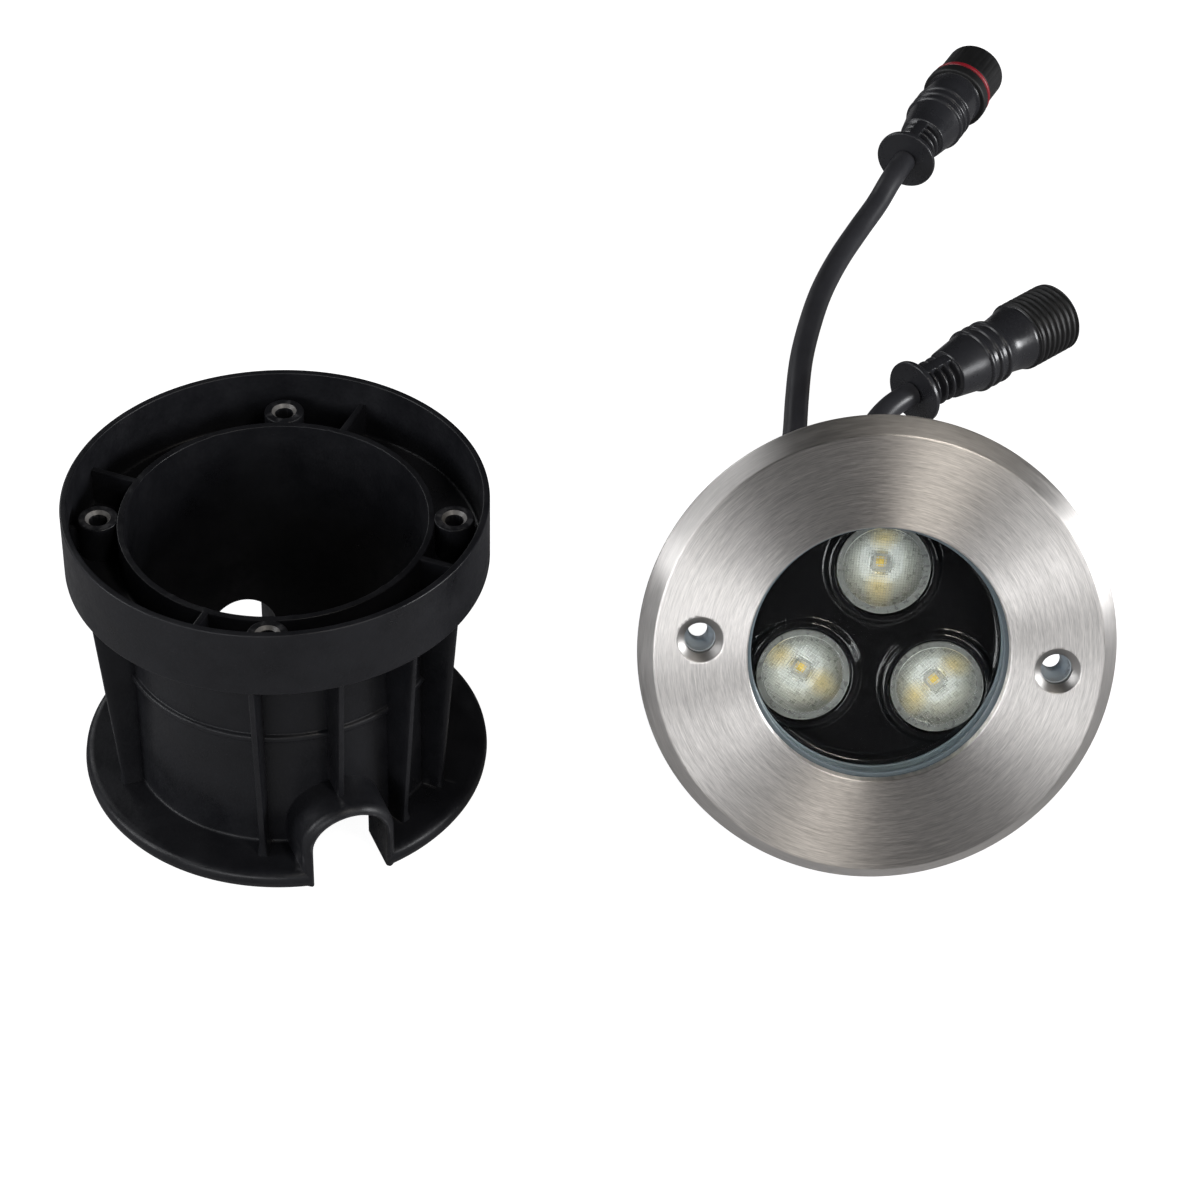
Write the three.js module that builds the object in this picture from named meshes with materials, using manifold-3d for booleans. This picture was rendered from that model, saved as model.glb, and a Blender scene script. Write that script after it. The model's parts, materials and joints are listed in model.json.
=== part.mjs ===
// Recessed pond light taken apart beside its mounting sleeve: a stainless trim ring with three lensed
// emitters behind glass, a sealed lamp housing with two cable glands, two short tails that end in an
// in-line plug and an in-line socket, and the moulded sleeve that the lamp drops into.
// Millimetres, +Z up. The origin is on the bench, under the middle of the sleeve and the lamp.

import * as THREE from "three";
import { mergeVertices } from "three/addons/utils/BufferGeometryUtils.js";
import Module from "manifold-3d";

const wasm = await Module();
wasm.setup();

// ---------------------------------------------------------------------------------------------
// Driving dimensions
// ---------------------------------------------------------------------------------------------

const GAP = 0.3; // clearance between pieces that touch or fit into each other

// Window and trim ring. Depths in the lamp run rearwards from the ring's front face.
const WINDOW_R = 30; // radius of the window opening
const PLATE_T = 3; // thickness of the ring's face plate, in front of its rear recess
const RING_T = 6; // thickness of the ring at its outer edge
const RING_OVERHANG = 5.75; // how far the ring reaches beyond the sleeve's rim
const BEVEL_W = 3.5; // width of the outer bevel
const BEVEL_T = 5; // height of the outer bevel
const WINDOW_CHAMFER = 0.3; // chamfer at the window's edge
const RING_HOLE_R = 3.6; // radius of a mounting hole in the ring
const COUNTERSINK_R = 5.25; // radius of its countersink at the face
const COUNTERSINK_T = 1.7; // depth of the countersink

// Window stack
const GLASS_LAP = 4; // how far the glass reaches behind the ring
const GLASS_T = 5; // thickness of the window glass
const GASKET_LAP = 1; // how far both glass gaskets show inside the window
const FRONT_GASKET_T = 1.3; // thickness of the gasket in front of the glass
const REAR_GASKET_T = 1; // thickness of the gasket behind the glass

// Optics
const EMITTERS = 3; // lensed emitters behind the glass
const LENS_MARGIN = 0.25; // least distance from a lens to the gasket's edge, seen from the front
const LENS_R = 10.75; // radius of a lens at its rim
const LENS_RIM_T = 1.3; // thickness of a lens's rim
const LENS_T = 10.1; // height of a lens
const LENS_FOOT_R = 5.2; // radius of a lens at its foot
const LENS_WAIST_R = 7.4; // radius of a lens above its foot
const LENS_WAIST_T = 3.5; // height of that waist above the foot
const EMITTER_POCKET_R = 3.1; // radius of the pocket in a lens's foot
const EMITTER_POCKET_T = 3.8; // depth of that pocket
const HOLDER_WALL = 0.9; // wall of a lens holder
const COLLAR_WALL = 1.8; // wall of the raised collars of the inner cover
const COLLAR_T = 1.4; // height of those collars
const COVER_PLATE_T = 1.8; // thickness of the inner cover's plate
const COVER_EDGE_WALL = 1.6; // wall of the inner cover's raised edge
const EMITTER_W = 3.5; // side of an emitter's base
const EMITTER_T = 1; // thickness of an emitter's base
const EMITTER_DOME_R = 1.4; // radius of the emitter's dome
const LED_BOARD_T = 1.6; // thickness of the emitters' board
const WIRE_HOLE_R = 3.5; // hole for wires through the emitters' board
const PAD_T = 0.5; // thickness of the thermal pad

// Lamp housing
const FLANGE_T = 4.7; // thickness of the flange under the trim ring
const HUB_WALL = 3.7; // wall of the hub round the glass
const SHOULDER_W = 2.4; // width of the shoulder that carries the glass
const SHOULDER_T = 0.5; // least metal behind that shoulder
const FRONT_WALL = 2.4; // wall of the front cavity
const BODY_TAPER = 1.5; // how much thinner the barrel is at its rear end
const REAR_WALL = 2.8; // wall of the rear cavity
const FLOOR_T = 3; // thickness of the floor between the cavities
const COVER_T = 2.9; // thickness of the rear cover's plate
const COVER_SPIGOT_T = 4.4; // height of the spigot inside the rear cover
const COVER_SEAL_T = 0.8; // thickness of the rear cover's gasket
const COVER_SCREW_INSET = 4.1; // distance from the cover screws to the cavity's wall
const CLAMP_SCREW_ANGLES = [45, 135, 225, 315]; // where the screws from the flange into the ring sit

// Screw posts, screws and grommets
const HOUSING_BOSS_R = 5.2; // radius of a mounting boss behind the lamp's flange
const GROMMET_R = 3.9; // outer radius of the grommet in a mounting boss
const GROMMET_FRONT_R = 3.4; // its bore at the front
const GROMMET_REAR_R = 2.2; // its bore at the rear
const POST_R = 3; // radius of the posts that take the cover screws
const POST_CLEARANCE = 2; // distance from those posts to the driver board
const SCREW_R = 1.25; // radius of the small screws
const SCREW_HEAD_R = 2.5; // radius of their heads
const SCREW_HEAD_T = 1.5; // height of their heads

// Driver board
const DRIVER_CLEARANCE = 3.7; // distance from the board to the cavity's wall
const DRIVER_T = 1.6; // thickness of the driver board
const REAR_ROOM = 12; // room behind the board for its parts
const STANDOFF_L = 4.5; // height of the standoffs under it
const STANDOFF_R = 2.6; // radius of the standoffs
const STANDOFF_PITCH_R = 20; // distance of the standoffs from the axis

// Tails
const CORD_R = 3.25; // radius of both tails
const CORD_SIDES = 8; // sides of a tail's section

// Cable glands
const GLAND_SPACING = 26; // distance between the two glands
const SEAL_WALL = 1.75; // wall of a gland's seal
const GLAND_WALL = 1.6; // wall of the thread under the nut
const GLAND_STEP = 0.3; // how much larger the thread through the rear cover is
const GLAND_EDGE = 1; // least width of the hexagon round that thread
const GLAND_HEX_T = 4.5; // thickness of the fixed hexagon
const GLAND_COLLAR_L = 6.9; // length of the thread under the nut
const NUT_L = 12.1; // length of the dome nut
const NUT_NOSE_WALL = 2.55; // wall of the dome nut's nose

// In-line connectors, measured from the cable end
const DISC_R = 8.9; // radius of the disc at the cable end
const DISC_T = 1.6; // thickness of that disc
const RELIEF_WALL = 3.05; // wall of the slotted strain relief
const RELIEF_L = 11.4; // length of the strain relief
const RELIEF_SLOTS = 4; // rows of slots in it
const SLOT_W = 1.3; // width of a slot
const SLOT_FLOOR = 1.2; // wall left at the bottom of a slot
const SPINE_W = 3; // width of the spines between the slots
const GRIP_R = 8.3; // radius of the grip
const CONE_L = 9; // length of the cone before the grip
const GRIP_RINGS = 3; // raised rings round the grip
const GRIP_RING_PITCH = 3.3; // distance from ring to ring
const GRIP_RING_H = 0.7; // height of a ring
const CONNECTOR_L = 56; // length of each connector
const COLLAR_R = 9.9; // radius of the plug's collar
const COLLAR_L = 4; // length of that collar
const PLUG_NECK_R = 7.6; // radius of the groove that holds the red seal
const PLUG_SEAL_R = 0.9; // section radius of the red seal
const PLUG_NOSE_R = 9; // radius of the plug's nose
const PLUG_NOSE_L = 11.2; // length of the nose
const PLUG_BORE_R = 7.3; // bore of the nose
const PLUG_BORE_L = 8; // depth of the bore to the contact carrier
const SOCKET_WAIST_R = 7.9; // radius of the waist behind the socket's thread
const THREAD_R = 9.8; // outer radius of the socket's thread
const THREAD_PITCH = 2; // pitch of the thread
const THREAD_TURNS = 7; // turns of the thread
const THREAD_H = 0.7; // depth of the thread
const THREAD_RUNOUT = 1; // plain length on both sides of the thread
const SOCKET_BORE_R = 7.7; // bore of the socket
const SOCKET_BORE_L = 8; // depth of the bore to the contact carrier
const PLUG_CARRIER_L = 3; // length of the plug's contact carrier
const SOCKET_CARRIER_L = 8; // length of the socket's contact carrier
const PIN_R = 0.8; // radius of a contact pin
const PIN_L = 5; // length of pin that stands out of its carrier
const PIN_SPACING = 5.2; // distance between the two contacts
const CONTACT_WALL = 0.4; // wall of a contact tube
const CONTACT_PLAY = 0.1; // clearance round a pin in its contact tube

// Mounting sleeve. Heights are above the bench.
const SLEEVE_H = 78.4; // height of the rim
const RIM_WALL = 1.6; // wall of the rim
const RIM_CLEARANCE = 1.45; // distance from the lamp's flange to the rim, when it is fitted
const RIM_BAND_H = 17.4; // height of the wide band that ends in the rim
const POCKET_FLOOR_T = 1.8; // floor of the pocket between the rim and the bore
const BORE_CLEARANCE = 1; // distance from the lamp's barrel to the sleeve's bore
const SLEEVE_WALL = 1.6; // wall round that bore
const BOSS_OFFSET = 4.4; // distance from that wall to the screw bosses' centres
const SLEEVE_BOSS_R = 4.7; // radius of a screw boss in the sleeve
const SLEEVE_SCREW_R = 2.2; // radius of the screw hole in that boss
const BOSS_WEB_DROP = 2.5; // how far a boss's web stays below its top
const BASE_INSET = 0.75; // how much smaller the base flange is than the rim
const BASE_T = 4.6; // thickness of the base flange
const RIDGE_Z = 37; // height of the ridge round the wall
const RIDGE_H = 1; // how far the ridge stands out
const RIDGE_FOOT = 0.9; // half the ridge's width at the wall
const RIDGE_CREST = 0.3; // half the ridge's width at its crest
const OUTER_RIB_T = 1.8; // thickness of the outer ribs
const OUTER_RIB_ANGLES = [23, 85, 110.5, 135, 155.5]; // half of the ribs, the others lie opposite
const RIB_TOP_INSET = 2.95; // distance from an outer rib's top to the band's outside
const RIB_FOOT_INSET = 7; // distance from an outer rib's foot to the base's edge
const POCKET_RIB_T = 1.5; // thickness of the pocket ribs
const POCKET_RIB_ANGLES = [67, 157, 247, 337];
const BOSSES = 4; // screw bosses in the pocket
const TUNNEL_ANGLES = [111, 291]; // directions of the two cable tunnels
const TUNNEL_W = 18; // width of a cable tunnel
const TUNNEL_H = 20; // height of a cable tunnel
const TUNNEL_WALL = 2.4; // wall of the hood over it

// Lay-out on the bench
const BENCH_GAP = 33.7; // free width between the sleeve's rim and the ring
const LAMP_SETBACK = -25.6; // how far the ring's middle lies in front of the sleeve's axis
const LAMP_ROLL = -5.2; // degrees that the lamp is turned about its own axis

// Routes of the tails, from the gland to the connector
const PLUG_BASE = [99.9, 247.1]; // where the plug's cable end lies
const PLUG_HEADING = 62.5; // degrees from +X in which the plug points
const SOCKET_BASE = [91.5, 132.05];
const SOCKET_HEADING = 40;
const PLUG_ROUTE = [
  [53.15, 35.0, 25.46], [53.15, 44.1, 21.2], [53.2, 53.1, 17.0], [53.4, 62, 12.95],
  [53.9, 71, 9.3], [54.6, 80, 6.4], [55.5, 90, 4.3], [56.6, 101, 3.45],
  [57.9, 112, 3.4], [59.4, 123, 3.4], [61.0, 138, 3.4], [63.4, 156, 3.4],
  [67.0, 173, 3.4], [71.4, 189, 3.4], [77.4, 205, 3.4], [84.6, 220, 4.0],
  [90.4, 229.6, 6.2], [94.4, 236.7, 8.7], [97.5, 242.5, 9.8], [99.69, 246.7, 9.9],
];
const SOCKET_ROUTE = [
  [79.05, 34, 23.32], [79.05, 43.1, 19.1], [78.76, 52, 14.95], [78.05, 61, 10.8],
  [77.13, 70, 7], [76.17, 79.5, 4.5], [75.51, 88.5, 3.55], [75.28, 96.38, 3.78],
  [75.28, 100.88, 4.3], [75.57, 105.37, 5.05], [76.38, 109.8, 6.04], [77.71, 114.09, 7.21],
  [79.54, 118.2, 8.2], [81.84, 122.06, 8.95], [84.58, 125.63, 9.47], [87.73, 128.85, 9.75],
  [91.16, 131.76, 9.8],
];
const PLUG_ROUTE_STEPS = 30;
const SOCKET_ROUTE_STEPS = 18;

// Sides of round pieces
const LARGE = 36; // sleeve, ring and housing
const MIDDLE = 14; // lenses, bosses, glands
const CONNECTOR = 12; // plug and socket
const SMALL = 8; // screws and screw holes

// ---------------------------------------------------------------------------------------------
// Derived sizes
// ---------------------------------------------------------------------------------------------

// Radii, from the window outwards
const GASKET_R = WINDOW_R - GASKET_LAP;
const LENS_PITCH_R = GASKET_R - LENS_R - LENS_MARGIN;
const GLASS_R = WINDOW_R + GLASS_LAP;
const HUB_R = GLASS_R + GAP + HUB_WALL;
const CAVITY_R = GLASS_R - SHOULDER_W;
const BODY_FRONT_R = CAVITY_R + FRONT_WALL;
const BODY_REAR_R = BODY_FRONT_R - BODY_TAPER;
const REAR_CAVITY_R = BODY_REAR_R - REAR_WALL;
const SPIGOT_R = REAR_CAVITY_R - GAP;
const DRIVER_R = REAR_CAVITY_R - DRIVER_CLEARANCE;
const COVER_SCREW_PITCH_R = REAR_CAVITY_R - COVER_SCREW_INSET;
const SLEEVE_BORE_R = BODY_FRONT_R + BORE_CLEARANCE;
const SLEEVE_OUTER_R = SLEEVE_BORE_R + SLEEVE_WALL;
const SCREW_PITCH_R = SLEEVE_OUTER_R + BOSS_OFFSET; // mounting screws, in the ring and in the sleeve
const FLANGE_R = SCREW_PITCH_R + HOUSING_BOSS_R;
const RECESS_R = FLANGE_R + GAP; // rear recess of the ring
const RIM_R = FLANGE_R + RIM_CLEARANCE + RIM_WALL;
const BASE_R = RIM_R - BASE_INSET;
const RING_R = RIM_R + RING_OVERHANG;
const SCREW_HOLE_R = SCREW_R + GAP;

// Depths behind the ring's front face
const FLANGE_S = PLATE_T + GAP;
const FLANGE_END_S = FLANGE_S + FLANGE_T;
const GLASS_S = FLANGE_S + FRONT_GASKET_T + GAP;
const REAR_GASKET_S = GLASS_S + GLASS_T + GAP;
const SHOULDER_S = REAR_GASKET_S + REAR_GASKET_T + GAP;
const SEAT_DEPTH = SHOULDER_S + SHOULDER_T; // where the hub ends and the lamp seats on the sleeve
const LENS_S = SHOULDER_S;
const COVER_PLATE_S = SHOULDER_S + GAP + COLLAR_T;
const HOLDER_S = LENS_S + LENS_RIM_T + GAP;
const LED_BOARD_S = LENS_S + LENS_T + EMITTER_T + GAP;
const HOLDER_END_S = LED_BOARD_S - GAP;
const PAD_S = LED_BOARD_S + LED_BOARD_T + GAP;
const FLOOR_S = PAD_S + PAD_T + GAP;
const DRIVER_S = FLOOR_S + FLOOR_T + STANDOFF_L + GAP;
const COVER_FRONT_S = DRIVER_S + DRIVER_T + REAR_ROOM;
const POST_L = REAR_ROOM - POST_CLEARANCE;
const COVER_S = COVER_FRONT_S + COVER_SPIGOT_T;
const BODY_L = COVER_S + COVER_T; // rear face of the rear cover
const COVER_SEAL_S = COVER_S - GAP - COVER_SEAL_T;
const HOUSING_END_S = COVER_SEAL_S - GAP;
const GLAND_S = BODY_L + GAP;
const SEAL_END_S = GLAND_S + GLAND_HEX_T + GLAND_COLLAR_L;
const NUT_S = GLAND_S + GLAND_HEX_T + GAP;

// Glands and connectors, from the tail outwards
const GLAND_BORE_R = CORD_R + GAP + SEAL_WALL + GAP;
const GLAND_COLLAR_R = GLAND_BORE_R + GLAND_WALL;
const GLAND_SPIGOT_R = GLAND_COLLAR_R + GLAND_STEP;
const GLAND_FLATS = 2 * (GLAND_SPIGOT_R + GLAND_EDGE); // width across flats
const NUT_NOSE_R = CORD_R + NUT_NOSE_WALL;
const RELIEF_R = CORD_R + RELIEF_WALL;

// Heights of the sleeve
const BAND_Z = SLEEVE_H - RIM_BAND_H; // underside of the band that carries the rim
const SEAT_Z = SLEEVE_H - (SEAT_DEPTH - RING_T) - GAP; // boss tops and the bore's edge

// Places on the bench: the lamp lies on the ring's lower edge and on the rear cover's edge
const SLEEVE_R = Math.max(RIM_R, BASE_R);
const SPAN = 2 * SLEEVE_R + BENCH_GAP + 2 * RING_R;
const SLEEVE_X = SLEEVE_R - SPAN / 2;
const LAMP_X = SPAN / 2 - RING_R;
const LAMP_TILT = Math.atan((RING_R - BODY_REAR_R) / (BODY_L - RING_T));
const LAMP_Z = RING_T * Math.sin(LAMP_TILT) + RING_R * Math.cos(LAMP_TILT);

const radians = THREE.MathUtils.degToRad;
const turn = (radius, degrees) => [radius * Math.cos(radians(degrees)), radius * Math.sin(radians(degrees))];

// ---------------------------------------------------------------------------------------------
// Materials
// ---------------------------------------------------------------------------------------------

const finish = (color, roughness, metalness) =>
  new THREE.MeshStandardMaterial({ color, roughness, metalness });
const MATERIALS = {
  sleevePlastic: finish(0x1b1c1e, 0.6, 0),
  brushedSteel: finish(0xb9b3aa, 0.32, 1),
  screwSteel: finish(0xa9a9a6, 0.3, 1),
  clearGlass: finish(0xdfe8ea, 0.05, 0),
  greySilicone: finish(0x6c7a80, 0.45, 0),
  glossBlack: finish(0x08080a, 0.12, 0),
  lensPlastic: finish(0xd9dcd2, 0.1, 0),
  holderPlastic: finish(0x121212, 0.4, 0),
  phosphor: finish(0xe6d27a, 0.5, 0),
  boardMask: finish(0xe8e8e4, 0.4, 0),
  thermalPad: finish(0x8fa3b5, 0.8, 0),
  castAluminium: finish(0x2a2b2d, 0.5, 0.6),
  driverMask: finish(0x1f5a34, 0.45, 0),
  coverPlastic: finish(0x151517, 0.5, 0),
  sealRubber: finish(0x18181a, 0.7, 0),
  glandPlastic: finish(0x17171a, 0.45, 0),
  cordRubber: finish(0x1c1d1f, 0.5, 0),
  connectorRubber: finish(0x19191c, 0.4, 0),
  redSeal: finish(0x8e1f24, 0.45, 0),
  carrierPlastic: finish(0x202023, 0.5, 0),
  contactBrass: finish(0xc9a24a, 0.25, 1),
};

// ---------------------------------------------------------------------------------------------
// Shape helpers
// ---------------------------------------------------------------------------------------------

// One closed surface with shared corners and no collapsed faces.
function weld(geometry) {
  const bare = geometry.clone();
  bare.deleteAttribute("normal");
  bare.deleteAttribute("uv");
  const merged = mergeVertices(bare, 1e-4);
  const kept = [];
  const index = merged.index.array;
  for (let i = 0; i < index.length; i += 3) {
    const [a, b, c] = [index[i], index[i + 1], index[i + 2]];
    if (a !== b && b !== c && c !== a) kept.push(a, b, c);
  }
  merged.setIndex(kept);
  return merged;
}

function solidOf(geometry) {
  const welded = weld(geometry);
  return new wasm.Manifold(
    new wasm.Mesh({
      numProp: 3,
      vertProperties: welded.attributes.position.array,
      triVerts: new Uint32Array(welded.index.array),
    }),
  );
}

function geometryOf(solid) {
  const { vertProperties, triVerts } = solid.getMesh();
  const geometry = new THREE.BufferGeometry();
  geometry.setAttribute("position", new THREE.BufferAttribute(new Float32Array(vertProperties), 3));
  geometry.setIndex(new THREE.BufferAttribute(new Uint32Array(triVerts), 1));
  return geometry;
}

function join(...geometries) {
  return geometryOf(geometries.map(solidOf).reduce((all, one) => all.add(one)));
}

function cut(geometry, ...tools) {
  return geometryOf(tools.map(solidOf).reduce((rest, tool) => rest.subtract(tool), solidOf(geometry)));
}

function common(geometry, tool) {
  return geometryOf(solidOf(geometry).intersect(solidOf(tool)));
}

// A turned solid about +Z. The outline is a list of [radius, z]; one that leaves the axis clear
// is closed on itself. It is put in the order that makes the faces point out.
function turned(outline, sides) {
  const touchesAxis = outline[0][0] === 0;
  const area = outline.reduce((sum, [r, z], i) => {
    const [r2, z2] = outline[(i + 1) % outline.length];
    return sum + r * z2 - r2 * z;
  }, 0);
  const ordered = area > 0 ? [...outline] : [...outline].reverse();
  if (!touchesAxis) ordered.push(ordered[0]);
  const points = ordered.map(([r, z]) => new THREE.Vector2(r, z));
  return weld(new THREE.LatheGeometry(points, sides)).rotateX(Math.PI / 2);
}

// A plain tube or rod between two heights.
const tube = (innerR, outerR, z0, z1, sides) =>
  turned([[innerR, z0], [outerR, z0], [outerR, z1], [innerR, z1]], sides);
const rod = (radius, z0, z1, sides) =>
  turned([[0, z0], [radius, z0], [radius, z1], [0, z1]], sides);

// A block by its lowest and highest corners.
function block([x0, y0, z0], [x1, y1, z1]) {
  const box = new THREE.BoxGeometry(x1 - x0, y1 - y0, z1 - z0);
  return box.translate((x0 + x1) / 2, (y0 + y1) / 2, (z0 + z1) / 2);
}

// A flat outline [x, y] given a thickness along +Z.
function plate(outline, thickness) {
  const shape = new THREE.Shape(outline.map(([x, y]) => new THREE.Vector2(x, y)));
  return new THREE.ExtrudeGeometry(shape, { depth: thickness, bevelEnabled: false });
}

// A rib in a plane through the Z axis: its outline is [radius, z] and it is turned to an angle.
function rib(outline, thickness, degrees) {
  return plate(outline, thickness)
    .translate(0, 0, -thickness / 2)
    .rotateX(Math.PI / 2)
    .rotateZ(radians(degrees));
}

// A hexagonal bar along Z, by its width across flats.
const hexagon = (flats, z0, z1) => rod(flats / Math.sqrt(3), z0, z1, 6);

// A quarter round from one angle to another, as [radius, z] points.
function arc(r, z, radius, from, to, steps) {
  return Array.from({ length: steps + 1 }, (_, i) => {
    const [x, y] = turn(radius, from + ((to - from) * i) / steps);
    return [r + x, z + y];
  });
}

function addPart(group, name, geometry, material) {
  const mesh = new THREE.Mesh(geometry, material);
  mesh.name = name;
  mesh.geometry.computeVertexNormals();
  group.add(mesh);
}

// ---------------------------------------------------------------------------------------------
// Mounting sleeve
// ---------------------------------------------------------------------------------------------

function tunnelOutline(width, height) {
  const crown = height - width / 2;
  return [[-width / 2, -1], ...arc(0, crown, width / 2, 180, 0, 8), [width / 2, -1]];
}

// An arched bar along a direction on the bench, from one radius to another.
function tunnelBar(width, height, from, to, degrees) {
  return plate(tunnelOutline(width, height), to - from)
    .rotateX(Math.PI / 2)
    .rotateZ(Math.PI / 2)
    .translate(from, 0, 0)
    .rotateZ(radians(degrees));
}

function sleeveShell() {
  const rounding = BASE_T / 2;
  const crest = SLEEVE_OUTER_R + RIDGE_H;
  const ridge = [[SLEEVE_OUTER_R, RIDGE_Z - RIDGE_FOOT], [crest, RIDGE_Z - RIDGE_CREST],
    [crest, RIDGE_Z + RIDGE_CREST], [SLEEVE_OUTER_R, RIDGE_Z + RIDGE_FOOT]];
  return turned(
    [
      [SLEEVE_BORE_R, 0],
      ...arc(BASE_R - rounding, rounding, rounding, -90, 90, 4),
      [SLEEVE_OUTER_R, BASE_T],
      ...ridge,
      [SLEEVE_OUTER_R, BAND_Z],
      [RIM_R, BAND_Z],
      [RIM_R, SLEEVE_H],
      [RIM_R - RIM_WALL, SLEEVE_H],
      [RIM_R - RIM_WALL, BAND_Z + POCKET_FLOOR_T],
      [SLEEVE_OUTER_R, BAND_Z + POCKET_FLOOR_T],
      [SLEEVE_OUTER_R, SEAT_Z],
      [SLEEVE_BORE_R, SEAT_Z],
    ],
    LARGE,
  );
}

function mountingSleeve() {
  const root = SLEEVE_OUTER_R - SLEEVE_WALL / 2; // where ribs start, inside the wall
  const additions = [];
  const openings = [];
  for (const half of [0, 180]) {
    for (const degrees of OUTER_RIB_ANGLES) {
      const foot = BASE_R - RIB_FOOT_INSET;
      const top = RIM_R - RIB_TOP_INSET;
      const outline = [[root, BASE_T / 2], [foot, BASE_T / 2], [top, BAND_Z + 0.5], [root, BAND_Z + 0.5]];
      additions.push(rib(outline, OUTER_RIB_T, degrees + half));
    }
  }
  for (const degrees of POCKET_RIB_ANGLES) {
    const reach = RIM_R - RIM_WALL / 2;
    const outline = [[root, BAND_Z + 1], [reach, BAND_Z + 1], [reach, SEAT_Z], [root, SEAT_Z]];
    additions.push(rib(outline, POCKET_RIB_T, degrees));
  }
  for (let i = 0; i < BOSSES; i++) {
    const degrees = (i * 360) / BOSSES;
    const [x, y] = turn(SCREW_PITCH_R, degrees);
    const web = [[SCREW_PITCH_R, BAND_Z + 1], [RIM_R - RIM_WALL / 2, BAND_Z + 1],
      [RIM_R - RIM_WALL / 2, SEAT_Z - BOSS_WEB_DROP], [SCREW_PITCH_R, SEAT_Z - BOSS_WEB_DROP]];
    additions.push(rod(SLEEVE_BOSS_R, BAND_Z + 0.5, SEAT_Z, MIDDLE).translate(x, y, 0));
    additions.push(rib(web, POCKET_RIB_T, degrees));
    openings.push(rod(SLEEVE_SCREW_R, BAND_Z + 1.5, SEAT_Z + 1, SMALL).translate(x, y, 0));
  }
  const hoodReach = BASE_R - BASE_T / 2;
  for (const degrees of TUNNEL_ANGLES) {
    const hood = tunnelBar(TUNNEL_W + 2 * TUNNEL_WALL, TUNNEL_H + TUNNEL_WALL, root, BASE_R, degrees);
    additions.push(common(hood, rod(hoodReach, 0, TUNNEL_H + 2 * TUNNEL_WALL, LARGE)));
    openings.push(tunnelBar(TUNNEL_W, TUNNEL_H, SLEEVE_BORE_R / 2, BASE_R + 5, degrees));
  }
  const bore = rod(SLEEVE_BORE_R, -1, SLEEVE_H, LARGE);
  return cut(join(sleeveShell(), ...additions), bore, ...openings);
}

// ---------------------------------------------------------------------------------------------
// Lamp head. Local +Z is the front face's normal, and depths are taken along -Z.
// ---------------------------------------------------------------------------------------------

const atDepths = (outline) => outline.map(([r, s]) => [r, -s]);
const ringAt = (innerR, outerR, s0, s1, sides) => tube(innerR, outerR, -s1, -s0, sides);
const rodAt = (radius, s0, s1, sides) => rod(radius, -s1, -s0, sides);

function trimRing() {
  const body = turned(
    atDepths([
      [WINDOW_R, WINDOW_CHAMFER],
      [WINDOW_R + WINDOW_CHAMFER, 0],
      [RING_R - BEVEL_W, 0],
      [RING_R, BEVEL_T],
      [RING_R, RING_T],
      [RECESS_R, RING_T],
      [RECESS_R, PLATE_T],
      [WINDOW_R, PLATE_T],
    ]),
    LARGE,
  );
  const slope = (COUNTERSINK_R - RING_HOLE_R) / COUNTERSINK_T;
  const holes = [-1, 1].map((side) =>
    turned(
      atDepths([
        [0, -1],
        [COUNTERSINK_R + slope, -1],
        [RING_HOLE_R, COUNTERSINK_T],
        [RING_HOLE_R, PLATE_T + 1],
        [0, PLATE_T + 1],
      ]),
      MIDDLE,
    ).translate(side * SCREW_PITCH_R, 0, 0),
  );
  const blindHoles = CLAMP_SCREW_ANGLES.map((degrees) => {
    const [x, y] = turn(SCREW_PITCH_R, degrees);
    return rodAt(SCREW_HOLE_R, PLATE_T / 3, PLATE_T + 1, SMALL).translate(x, y, 0);
  });
  return cut(body, ...holes, ...blindHoles);
}

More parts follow.
